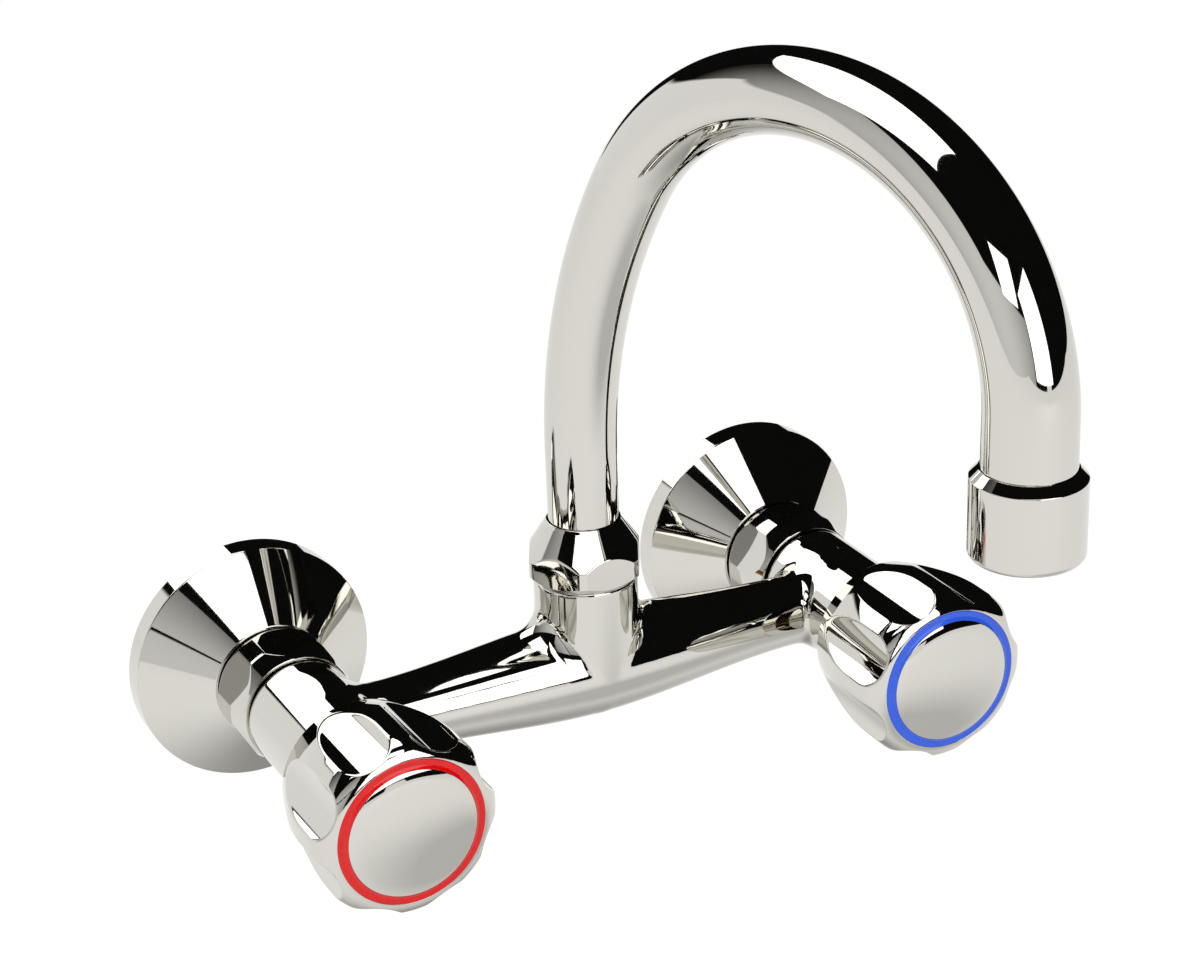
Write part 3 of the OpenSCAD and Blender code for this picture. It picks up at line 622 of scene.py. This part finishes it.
def body_field(p):
    """Distance to the cast body's surface, in millimetres, on the riser's axis."""
    x, y, z = np.abs(p[..., 0]), p[..., 1], p[..., 2]
    depth = BRIDGE_DEPTH - y
    chamber_x = SPACING / 2 - x
    from_inlet = np.hypot(chamber_x, z)
    from_riser = np.hypot(x, y)
    from_bridge = np.hypot(y, z)

    # An arm thins from the riser outward and flares into its chamber
    arm_len, mid, end = SPACING / 2 - CHAMBER_R - 2.0, 13.3, 9.4
    flare, flare_len = 14.0, 10.5
    t = np.clip(x / arm_len, 0, 1)
    shape = mid + (end - mid) * t * t * (3 - 2 * t)
    slope = (end - mid) * 6 * t * (1 - t) / arm_len
    past = np.clip(x - arm_len, 0, flare_len)
    shape = shape + flare - np.sqrt(flare ** 2 - past ** 2)
    slope = np.where(past > 0, past / np.sqrt(flare ** 2 - past ** 2), slope)
    arm = (from_bridge - shape) / np.sqrt(1 + slope ** 2)
    arm = np.maximum(arm, x - SPACING / 2)

    # The riser's foot is a half ball, and its upper edge is rounded
    chamber = rounded_rod(from_inlet, depth, BODY_BACK, MOUTH, CHAMBER_R, 1.1)
    riser = rounded_rod(from_riser, z, 0, RISER_HEIGHT, RISER_R, 0.8)
    foot = np.sqrt(x * x + y * y + z * z) - RISER_R
    riser = np.where(z < 6, np.where(z < 0, foot, from_riser - RISER_R), riser)
    collar = np.maximum(from_riser - RISER_THREAD_R, np.maximum(z - RISER_TOP, -z))

    # The fillet between arm and riser is wide above and tight below, and dies out toward the sides
    fillet_above, fillet_below, chamber_fillet = 6.6, 0.3, 1.6
    crossing = 1 - np.clip(np.abs(y) / RISER_R, 0, 1) ** 2
    solid = fillet_union(arm, riser, np.where(z > 0, fillet_above, fillet_below) * crossing)
    solid = fillet_union(solid, chamber, chamber_fillet)
    solid = np.minimum(solid, collar)

    # Bored out by radius, start and end: inlet, valve seat, chamber and headwork thread, then the
    # bridge's waterway, and the riser's waterway and socket
    bores = [
        (from_inlet, depth, 9.45, BODY_BACK - 1, 44.4), (from_inlet, depth, 5.5, 44, 47.2),
        (from_inlet, depth, 9.3, 47, 62.2), (from_inlet, depth, 10.53, 62, MOUTH + 1),
        (from_bridge, x, 5.0, -1, 66.7),
        (from_riser, z, 7.0, -5, 13), (from_riser, z, 9.0, 12, RISER_TOP + 1),
    ]
    for radial, along, r, low, high in bores:
        bore = np.maximum(radial - r, np.maximum(low - along, along - high))
        solid = np.maximum(solid, -bore)
    return solid


def pairs_along(axis):
    """Two indexes of a grid that pair each point with the next one along an axis."""
    first, second = [slice(None)] * 3, [slice(None)] * 3
    first[axis], second[axis] = slice(0, -1), slice(1, None)
    return tuple(first), tuple(second)


def net_of(field, low, high, step):
    """Points and quads of a field's zero surface, one point to a cell that the surface crosses."""
    axes = [np.arange(a, b + step, step) for a, b in zip(low, high)]
    grid = np.stack(np.meshgrid(*axes, indexing="ij"), -1)
    value = field(grid)
    inside = value < 0
    shape = np.array(inside.shape) - 1
    # A cell's point is the mean of the places where the cell's edges cross the surface
    total, hits = np.zeros((*shape, 3)), np.zeros(shape)
    for axis in range(3):
        others = [k for k in range(3) if k != axis]
        first, second = pairs_along(axis)
        a, b = value[first], value[second]
        crossed = inside[first] != inside[second]
        share = np.where(crossed, a / np.where(crossed, a - b, 1), 0)
        point = grid[first].copy()
        point[..., axis] += share * step
        for i in (0, 1):
            for j in (0, 1):
                part = [slice(None)] * 3
                part[others[0]] = slice(i, i + shape[others[0]])
                part[others[1]] = slice(j, j + shape[others[1]])
                here = crossed[tuple(part)]
                total += point[tuple(part)] * here[..., None]
                hits += here
    used = hits > 0
    number = np.full(shape, -1)
    number[used] = np.arange(used.sum())
    points = total[used] / hits[used][:, None]
    # The four cells round an edge that crosses the surface make a quad, which faces outward
    faces = []
    for axis in range(3):
        u, v = [(1, 2), (2, 0), (0, 1)][axis]
        first, second = pairs_along(axis)
        crossed = np.argwhere(inside[first] != inside[second])
        crossed = crossed[(crossed[:, u] > 0) & (crossed[:, v] > 0)
                          & (crossed[:, u] < shape[u]) & (crossed[:, v] < shape[v])]
        corner = []
        for i, j in ((0, 0), (1, 0), (1, 1), (0, 1)):
            cell = crossed.copy()
            cell[:, u] -= i
            cell[:, v] -= j
            corner.append(number[tuple(cell.T)])
        quads = np.stack(corner, -1)
        leaving = inside[tuple(crossed.T)]
        faces.append(np.where(leaving[:, None], quads, quads[:, ::-1]))
    return points, np.concatenate(faces)


def slope_of(field, points, reach=0.02):
    """Gradient of a field at points."""
    result = np.empty_like(points)
    for axis in range(3):
        shift = np.zeros(3)
        shift[axis] = reach
        result[:, axis] = (field(points + shift) - field(points - shift)) / (2 * reach)
    return result


class MIXER_OT_body(bpy.types.Operator):
    """Cast body: bridge, riser and valve chambers blended into one polished skin"""

    bl_idname = "mixer.body"
    bl_label = "Cast body"

    def execute(self, context):
        half = SPACING / 2 + CHAMBER_R + 1.1
        step = 0.6
        low, high = (-half, -21.6, -15.8), (half, 14.6, RISER_TOP + 1.2)
        points, faces = net_of(body_field, low, high, step)
        # Each round draws the points closer to the true surface
        for _ in range(3):
            grade = slope_of(body_field, points)
            size = np.clip((grade ** 2).sum(1), 0.25, None)
            move = -body_field(points)[:, None] * grade / size[:, None]
            points = points + np.clip(move, -step / 2, step / 2)
        make_piece("cast_body", on_riser()(points), faces.tolist(),
                   finish_for("chrome"), "mixer", ["mixer_body"])
        return {"FINISHED"}


def spout_course():
    """The spout tube's centre line as (x, z, slope) rows, from its foot to its outlet."""
    leg, drop = 60.0, 14.0
    arch_x, arch_z = SPOUT_REACH - ARCH_R, leg + (LEAN_R - ARCH_R) * math.sin(LEAN)
    upright = math.pi / 2
    rows = [(0, z, upright) for z in np.linspace(COLLAR_TOP, leg, 16, endpoint=False)]
    rows += [(LEAN_R * (1 - math.cos(a)), leg + LEAN_R * math.sin(a), upright - a)
             for a in np.linspace(0, LEAN, 60, endpoint=False)]
    rows += [(arch_x - ARCH_R * math.cos(a), arch_z + ARCH_R * math.sin(a), upright - a)
             for a in np.linspace(LEAN, math.pi, 150)]
    rows += [(SPOUT_REACH, z, -upright) for z in np.linspace(arch_z, arch_z - drop, 12)[1:]]
    return np.array(rows)


class MIXER_OT_spout_tube(bpy.types.Operator):
    """Swan-neck tube, widening from the nut to the outlet, with its inner skin"""

    bl_idname = "mixer.spout_tube"
    bl_label = "Spout tube"

    def execute(self, context):
        course = spout_course()
        steps = np.hypot(*np.diff(course[:, :2], axis=0).T)
        along = np.concatenate([[0], np.cumsum(steps)]) / steps.sum()
        around = np.linspace(0, 2 * math.pi, 128, endpoint=False)
        foot_r, outlet_r, wall = 9.0, 10.86, 1.2
        x, z, slope = course[:, :1], course[:, 1:2], course[:, 2:]

        def skin(inward):
            r = (foot_r + (outlet_r - foot_r) * along - inward)[:, None]
            u, v = r * np.cos(around), r * np.sin(around)
            return np.stack([x - u * np.sin(slope), v, z + u * np.cos(slope)], -1)

        points, faces = revolve(np.concatenate([skin(0.0), skin(wall)[::-1]]))
        make_piece("swan_neck_tube", in_spout()(points), faces.tolist(),
                   finish_for("chrome"), "spout", ["spout_tube"])
        return {"FINISHED"}


class MIXER_OT_aerator(bpy.types.Operator):
    """Aerator housing: chamfered above the tube's end and rounded at its mouth"""

    bl_idname = "mixer.aerator"
    bl_label = "Aerator housing"

    def execute(self, context):
        top, shelf, bottom = 92.53, 81.63, 71.13
        radius, bore, mouth = 13.3, 10.91, 9.6
        outline = rounded([
            (mouth, bottom, 0.4), (radius, bottom, 1.8), (radius, top - 2.2, 0.35),
            (bore + 0.3, top, 0.15), (bore, top, 0.1), (bore, shelf, 0.1),
            (mouth, shelf, 0.1)], 0.5)
        points, faces = revolve(turned(outline, 256))
        make_piece("aerator_shell", in_spout(SPOUT_REACH)(points), faces.tolist(),
                   finish_for("chrome"), "spout", ["aerator_housing"])
        return {"FINISHED"}


class MIXER_OT_wall_unions(bpy.types.Operator):
    """Wall unions: a cut pipe thread, a collar and the offset thread for the union nut"""

    bl_idname = "mixer.wall_unions"
    bl_label = "Wall unions"

    def execute(self, context):
        pitch = mm(context.scene.mixer_sizes.thread_pitch)
        # The groove's depth to a sharp root, the steepness of its flanks, and where its root is cut flat
        depth, flank, root = 1.16, 2.4, 0.86

        def threaded(corners, crest, start, end):
            def radius(r, z, angle):
                phase = np.mod(z / pitch - angle / (2 * math.pi), 1.0)
                groove = np.clip(1 - flank * np.abs(phase - 0.5), 0, root)
                fade = np.clip((z - start) / pitch, 0, 1) * np.clip((end - z) / pitch, 0, 1)
                return np.where(np.abs(r - crest) < 0.02, r - depth * groove * fade, r)

            return revolve(turned(rounded(corners, 0.16), 160, radius))

        # The half in the wall, on the axis of the wall's thread
        bore, collar = 7.68, 12.08
        wall_points, wall_faces = threaded([
            (bore, -16, 0.3), (9.4, -16, 0.2), (THREAD_R, -15, 0.1), (THREAD_R, 1, 0.1),
            (collar, 2.6, 0.2), (collar, 7, 0.3), (bore, 7, 0.1)], THREAD_R, -15, 1)
        wall_points = wall_points + np.array([0, UNION_OFFSET, 0])
        # The half that takes the union nut, on the mixer's axis
        bore, start, end = 9.02, PLATE_DEPTH + 0.4, 26.2
        nut_points, nut_faces = threaded([
            (bore, 6, 0.1), (UNION_THREAD_R, 6, 0.3), (UNION_THREAD_R, end, 0.1),
            (12.4, UNION_END, 0.1), (bore, UNION_END, 0.3)], UNION_THREAD_R, start, end)
        points = np.concatenate([wall_points, nut_points])
        faces = wall_faces.tolist() + (nut_faces + len(wall_points)).tolist()
        for name, side in SIDES.items():
            make_piece(f"{name}_threaded_union", on_inlet(side)(points), faces,
                       finish_for("brass"), "mixer", [f"{name}_wall_union"])
        return {"FINISHED"}


class MIXER_OT_inner_pieces(bpy.types.Operator):
    """Finishes of the CAD pieces that stay: headworks, seals, screws and the aerator's inside"""

    bl_idname = "mixer.inner_pieces"
    bl_label = "Inner pieces"

    def execute(self, context):
        slots = {row["node"]: row["material_slot"] for row in frame["record"]["subparts"]}
        for node, obj in frame["nodes"].items():
            if obj.hide_render:
                continue
            finish = finish_for(slots[node])
            for holder in obj.material_slots:
                holder.material = finish
            if not obj.material_slots:
                obj.data.materials.append(finish)
        return {"FINISHED"}


# ---------------------------------------------------------------- studio

def direction(azimuth, elevation):
    """A direction by its azimuth, from straight ahead toward the cold side, and its elevation."""
    a, e = math.radians(azimuth), math.radians(elevation)
    return Vector((math.cos(e) * math.sin(a), -math.cos(e) * math.cos(a), math.sin(e)))


# White softboxes round the object, by the places of their corners in metres. The metal mirrors
# them. The swan neck, which stands above the rest, has softboxes of its own.
SOFTBOXES = {
    "overhead_softbox": [(0.025, 0.024, 0.391), (0.026, 0.088, 0.389), (-0.31, -0.043, 0.363),
                         (-0.199, -0.297, 0.383), (0.061, -0.249, 0.406)],
    "high_softbox": [(-0.987, -2.282, 1.842), (1.132, -3.315, 2.03), (1.273, -2.823, 3.16),
                     (-2.117, -1.54, 2.124)],
    "front_softbox": [(-0.221, -1.315, -0.07), (0.5, -1.039, 0.017), (0.327, -0.793, 0.52),
                      (-0.138, -0.978, 0.451)],
    "rear_softbox": [(0.07, 1.005, 0.371), (-0.558, 0.625, 0.333), (-0.407, 0.396, 0.664),
                     (0.199, 0.724, 0.739)],
}
NECK_SOFTBOXES = {
    "neck_overhead_softbox": [(0.085, 0.435, 0.928), (0.092, 0.667, 0.889), (-0.943, 0.072, 0.738),
                              (-0.738, -0.633, 0.912), (0.333, -0.459, 1.145)],
    "neck_left_softbox": [(-1.03, -1.162, 0.331), (-0.53, -1.368, 0.394), (-0.229, -1.526, 0.922),
                          (-0.815, -1.284, 0.853)],
    "neck_front_softbox": [(-0.474, -2.0, -0.116), (0.889, -2.43, -0.181), (0.494, -1.484, 0.908),
                           (-0.37, -1.505, 0.566)],
}

# The upper part of the grey side wall: its corners in degrees as seen from a place on the object,
# and how far off it stands in metres. Its grey falls from the first height to the second.
WALL_TOP = [(-62, 9), (-18, 10.5), (-22, 31), (-29, 33), (-48, 28), (-62, 14)]
WALL_SEEN_FROM = (0, -0.08, 0.06)
WALL_FAR = 3.3
WALL_TOP_HEIGHTS = (0.58, 2.64)
WALL_TOP_GREYS = (0.63, 0.135)

# The rest of the room is far off, and its corners are azimuths and elevations in degrees: a grey
# side wall, a pale backdrop, and darkness between them. The wall's grey rises toward its brightest
# direction, from the first value to the second, raised to the power WALL_FALL.
GREY_WALL = [
    [(-150, 47), (-88, 31), (-60, 8), (-60, -20), (-150, -20)],
    [(-62, 8), (-18, 10), (-18, -20), (-62, -20)],
]
WALL_BRIGHTEST = (-66, -4)
WALL_GREYS = (0.1, 0.85)
WALL_FALL = 1.6
BACKDROP = [(-178, 12), (-150, 20), (-122, 21), (-104, -4), (-104, -30), (-178, -30)]
BACKDROP_TONE = (0.93, 0.93, 0.93, 1)
DARK = (0.004, 0.004, 0.004, 1)
WHITE = (1, 1, 1, 1)

# The paper on the floor, by x and y in metres. A strip of it runs on forward, so that the arms
# mirror no dark gap under the front softbox.
PAPER = [(-1.8, -3.0), (0.3, -3.0), (0.8, -6.5), (1.8, -6.5), (0.85, -3.0), (6.0, -3.0), (6.0, 4.0),
         (-1.8, 4.0)]
# Shadows that the metal sees on the paper: centre and width in millimetres, depth, and its limit
SHADOWS = [((210, -400, 0), 250, 0.62, 0.46), ((20, 50, 0), 245, 0.75, 0.75)]
# How bright the metal and the camera see the paper glow, and the glow's share beside plain paper
PAPER_MIRRORED = 0.99
PAPER_PHOTOGRAPHED = 1.10
PAPER_LIFT = 0.8

# Each lamp's place and size in metres, and its power in watts
LAMPS = {"overhead_lamp": ((-0.9, -0.6, 1.6), 1.6, 22), "front_lamp": ((0.3, -2.0, 0.5), 1.2, 12)}
LAMPS_AIM = (0, -0.08, 0.02)

# The photograph's camera: place in millimetres, yaw, pitch and roll in degrees, and focal length in
# pixels of the photograph's width
CAMERA_PLACE = (-305.69, -666.92, 350.09)
CAMERA_TURN = (26.80, -23.83, -1.83)
FOCAL_PIXELS = 2973.93
PHOTO_WIDTH = 1200


def panel_mask(tree, ray, corners, soft):
    """1 where a ray meets a flat panel with these corners, and 0 elsewhere."""
    points = [direction(*c) for c in corners]
    middle = sum(points, Vector())
    least = None
    for a, b in zip(points, points[1:] + points[:1]):
        edge = a.cross(b).normalized()
        if edge.dot(middle) < 0:
            edge.negate()
        side = add(tree, "ShaderNodeVectorMath", {0: ray, 1: edge}, operation="DOT_PRODUCT")
        side = side.outputs["Value"]
        least = side if least is None else add(
            tree, "ShaderNodeMath", {0: least, 1: side}, operation="MINIMUM").outputs[0]
    return add(tree, "ShaderNodeMapRange", {"Value": least, "From Min": -soft, "From Max": soft},
               interpolation_type="SMOOTHSTEP").outputs["Result"]


class MIXER_OT_studio(bpy.types.Operator):
    """Pale floor, plain soft light, the panels that the metal mirrors, and the camera"""

    bl_idname = "mixer.studio"
    bl_label = "Studio"

    def execute(self, context):
        studio = context.scene.mixer_studio
        self.make_floor(studio)
        self.make_world(studio)
        self.make_softboxes(studio)
        self.make_lamps()
        self.make_camera()
        context.scene.view_settings.view_transform = "Standard"
        return {"FINISHED"}

    def make_floor(self, studio):
        mesh = bpy.data.meshes.new("studio_floor")
        mesh.from_pydata([(x, y, 0) for x, y in PAPER], [], [tuple(range(len(PAPER)))])
        floor = bpy.data.objects.new("studio_floor", mesh)
        floor.location.z = -studio.floor_drop
        bpy.context.scene.collection.objects.link(floor)
        # White paper: matt and even. It is lifted to white for the camera, and the metal sees it
        # darken under the object and in front of it, where its shadow falls.
        paper, tree, shader, place = new_finish("white_paper", linear("#F2F2F0"), 0.0, 0.9)
        vary_gloss(tree, shader, place, 3.0, 0.85, 0.95)
        shade = 0.0
        for centre, wide, depth, limit in SHADOWS:
            far = add(tree, "ShaderNodeVectorMath", {0: place, 1: centre}, operation="DISTANCE")
            far = add(tree, "ShaderNodeMath", {0: far.outputs["Value"], 1: 1 / wide},
                      operation="MULTIPLY").outputs[0]
            square = add(tree, "ShaderNodeMath", {0: far, 1: far}, operation="MULTIPLY").outputs[0]
            spot = add(tree, "ShaderNodeMath", {0: 1 / math.e, 1: square}, operation="POWER")
            spot = add(tree, "ShaderNodeMath", {0: spot.outputs[0], 1: depth}, operation="MULTIPLY")
            spot = add(tree, "ShaderNodeMath", {0: spot.outputs[0], 1: limit}, operation="MINIMUM")
            shade = add(tree, "ShaderNodeMath", {0: spot.outputs[0], 1: shade},
                        operation="MAXIMUM").outputs[0]
        mirrored = add(tree, "ShaderNodeMath", {0: PAPER_MIRRORED, 1: shade}, operation="SUBTRACT")
        seen = add(tree, "ShaderNodeLightPath").outputs
        level = add(tree, "ShaderNodeMix", {
            "Factor": seen["Is Camera Ray"], "A": mirrored.outputs[0], "B": PAPER_PHOTOGRAPHED},
            data_type="FLOAT").outputs["Result"]
        shown = seen["Is Camera Ray"]
        for kind in ("Is Glossy Ray", "Is Transmission Ray"):
            shown = add(tree, "ShaderNodeMath", {0: shown, 1: seen[kind]},
                        operation="MAXIMUM").outputs[0]
        lift = add(tree, "ShaderNodeMath", {0: shown, 1: PAPER_LIFT}, operation="MULTIPLY")
        white = add(tree, "ShaderNodeEmission", {"Color": WHITE, "Strength": level})
        mixed = add(tree, "ShaderNodeMixShader", {
            0: lift.outputs[0], 1: shader.outputs[0], 2: white.outputs[0]})
        tree.links.new(mixed.outputs[0], tree.nodes["Material Output"].inputs["Surface"])
        mesh.materials.append(paper)

    def make_softboxes(self, studio):
        """Panels that only metal and glossy plastic see. They glow and let rays through."""
        neck, aerator = (bpy.data.objects[name] for name in ("swan_neck_tube", "aerator_shell"))
        # White cloth, lit from behind: an even white with no weave to see
        cloth, tree = self.new_panel_finish("lit_white_cloth")
        self.shine(tree, studio.softbox)
        for name, corners in (SOFTBOXES | NECK_SOFTBOXES).items():
            # The aerator's chamfer mirrors no softbox from overhead in the photograph
            pieces = [neck, aerator] if name == "overhead_softbox" else [neck]
            self.hang(name, corners, cloth, pieces, name in NECK_SOFTBOXES)
        # Grey wall: a matt glow with a painted shade, darker toward the ceiling
        panel_glow, tree = self.new_panel_finish("grey_wall_paint")
        place = add(tree, "ShaderNodeTexCoord").outputs["Object"]
        height = add(tree, "ShaderNodeSeparateXYZ", {0: place}).outputs["Z"]
        (low, high), (pale, dark) = WALL_TOP_HEIGHTS, WALL_TOP_GREYS
        tone = add(tree, "ShaderNodeMapRange", {
            "Value": height, "From Min": low, "From Max": high, "To Min": pale, "To Max": dark})
        self.shine(tree, tone.outputs["Result"])
        corners = [Vector(WALL_SEEN_FROM) + WALL_FAR * direction(*c) / math.cos(math.radians(c[1]))
                   for c in WALL_TOP]
        self.hang("grey_wall_top", corners, panel_glow, [neck], False)

    def new_panel_finish(self, name):
        """An empty material for a panel, which shine fills."""
        finish = bpy.data.materials.new(name)
        finish.use_nodes = True
        return finish, finish.node_tree

    def shine(self, tree, strength):
        """Lets light through a panel and adds its glow."""
        through = add(tree, "ShaderNodeBsdfTransparent").outputs[0]
        glow = add(tree, "ShaderNodeEmission", {"Color": WHITE, "Strength": strength}).outputs[0]
        both = add(tree, "ShaderNodeAddShader", {0: through, 1: glow}).outputs[0]
        tree.links.new(both, tree.nodes["Material Output"].inputs["Surface"])

    def hang(self, name, corners, finish, pieces, seen):
        """Hangs a panel that is seen in these pieces alone, or in everything but them."""
        mesh = bpy.data.meshes.new(name)
        mesh.from_pydata([tuple(c) for c in corners], [], [tuple(range(len(corners)))])
        mesh.materials.append(finish)
        panel = bpy.data.objects.new(name, mesh)
        bpy.context.scene.collection.objects.link(panel)
        panel.visible_camera = panel.visible_diffuse = panel.visible_transmission = False
        panel.visible_volume_scatter = panel.visible_shadow = False
        lit = bpy.data.collections.new(f"{name}_lights")
        for piece in pieces:
            lit.objects.link(piece)
        for row in lit.collection_objects:
            row.light_linking.link_state = "INCLUDE" if seen else "EXCLUDE"
        panel.light_linking.receiver_collection = lit

    def make_world(self, studio):
        """Plain white light all round, with the far walls of the room for the metal alone."""
        world = bpy.data.worlds.new("studio")
        bpy.context.scene.world = world
        world.use_nodes = True
        tree = world.node_tree
        tree.nodes.clear()
        ray = add(tree, "ShaderNodeTexCoord").outputs["Generated"]
        toward = add(tree, "ShaderNodeVectorMath", {0: ray, 1: direction(*WALL_BRIGHTEST)},
                     operation="DOT_PRODUCT").outputs["Value"]
        tone = add(tree, "ShaderNodeMapRange", {
            "Value": toward, "From Min": 0.1, "From Max": 1.0,
            "To Min": WALL_GREYS[0], "To Max": WALL_GREYS[1]}).outputs["Result"]
        tone = add(tree, "ShaderNodeMath", {0: tone, 1: WALL_FALL}, operation="POWER").outputs[0]
        wall = add(tree, "ShaderNodeCombineColor", {0: tone, 1: tone, 2: tone}).outputs["Color"]
        colour = DARK
        panels = [(corners, 0.01, wall) for corners in GREY_WALL]
        for corners, soft, panel_glow in (*panels, (BACKDROP, 0.02, BACKDROP_TONE)):
            mask = panel_mask(tree, ray, corners, soft)
            colour = add(tree, "ShaderNodeMix", {"Factor": mask, "A": colour, "B": panel_glow},
                         data_type="RGBA").outputs["Result"]
        mirrored, plain, white = (
            add(tree, "ShaderNodeBackground", {"Color": tint, "Strength": strength}).outputs[0]
            for tint, strength in ((colour, 1.0), (WHITE, studio.ambient), (WHITE, 1.0)))
        seen = add(tree, "ShaderNodeLightPath").outputs
        lit = add(tree, "ShaderNodeMixShader", {0: seen["Is Glossy Ray"], 1: plain, 2: mirrored})
        bare = add(tree, "ShaderNodeMath", {
            0: seen["Is Camera Ray"], 1: seen["Is Transmission Ray"]}, operation="MAXIMUM")
        shown = add(tree, "ShaderNodeMixShader", {0: bare.outputs[0], 1: lit.outputs[0], 2: white})
        add(tree, "ShaderNodeOutputWorld", {"Surface": shown.outputs[0]})

    def make_lamps(self):
        """Two soft lamps for the plain level; the panels already stand for them in the metal."""
        for name, (place, size, power) in LAMPS.items():
            light = bpy.data.lights.new(name, "AREA")
            light.size = size
            light.energy = power
            lamp = bpy.data.objects.new(name, light)
            lamp.location = place
            toward = Vector(LAMPS_AIM) - Vector(place)
            lamp.rotation_euler = toward.to_track_quat("-Z", "Y").to_euler()
            lamp.visible_glossy = False
            bpy.context.scene.collection.objects.link(lamp)

    def make_camera(self):
        """The photograph's view."""
        yaw, pitch, roll = (math.radians(a) for a in CAMERA_TURN)
        ahead = Vector((
            math.sin(yaw) * math.cos(pitch), math.cos(yaw) * math.cos(pitch), math.sin(pitch)))
        level = Vector((math.cos(yaw), -math.sin(yaw), 0))
        upward = level.cross(ahead)
        right = math.cos(roll) * level + math.sin(roll) * upward
        up = -math.sin(roll) * level + math.cos(roll) * upward
        data = bpy.data.cameras.new("camera")
        data.sensor_fit = "HORIZONTAL"
        data.sensor_width = 36
        data.lens = data.sensor_width * FOCAL_PIXELS / PHOTO_WIDTH
        data.clip_start, data.clip_end = 0.05, 20
        camera = bpy.data.objects.new("camera", data)
        turn = Matrix((right, up, -ahead)).transposed().to_4x4()
        camera.matrix_world = Matrix.Translation(Vector(CAMERA_PLACE) * MM) @ turn
        bpy.context.scene.collection.objects.link(camera)
        bpy.context.scene.camera = camera


# ---------------------------------------------------------------- add-on

OPERATORS = (
    MIXER_OT_wall_unions, MIXER_OT_wall_plates, MIXER_OT_union_nuts, MIXER_OT_body,
    MIXER_OT_knobs, MIXER_OT_spout_nut, MIXER_OT_spout_tube, MIXER_OT_aerator,
    MIXER_OT_inner_pieces, MIXER_OT_studio,
)


class MIXER_PT_panel(bpy.types.Panel):
    """Lists the mixer's steps and settings"""

    bl_idname = "MIXER_PT_panel"
    bl_label = "Wall-mounted mixer"
    bl_space_type = "VIEW_3D"
    bl_region_type = "UI"
    bl_category = "Mixer"

    def draw(self, context):
        column = self.layout.column()
        for name, group in GROUPS.items():
            for key in group.__annotations__:
                column.prop(getattr(context.scene, name), key)
        for step in OPERATORS:
            column.operator(step.bl_idname)


GROUPS = {"mixer_sizes": MixerSizes, "mixer_colours": MixerColours, "mixer_studio": MixerStudio}


def register():
    for cls in (*GROUPS.values(), *OPERATORS, MIXER_PT_panel):
        bpy.utils.register_class(cls)
    for key, group in GROUPS.items():
        setattr(bpy.types.Scene, key, PointerProperty(type=group))


def unregister():
    for key in GROUPS:
        delattr(bpy.types.Scene, key)
    for cls in reversed((*GROUPS.values(), *OPERATORS, MIXER_PT_panel)):
        bpy.utils.unregister_class(cls)


def main():
    register()
    for step in OPERATORS:
        group, name = step.bl_idname.split(".")
        getattr(getattr(bpy.ops, group), name)()


if __name__ == "__main__":
    main()
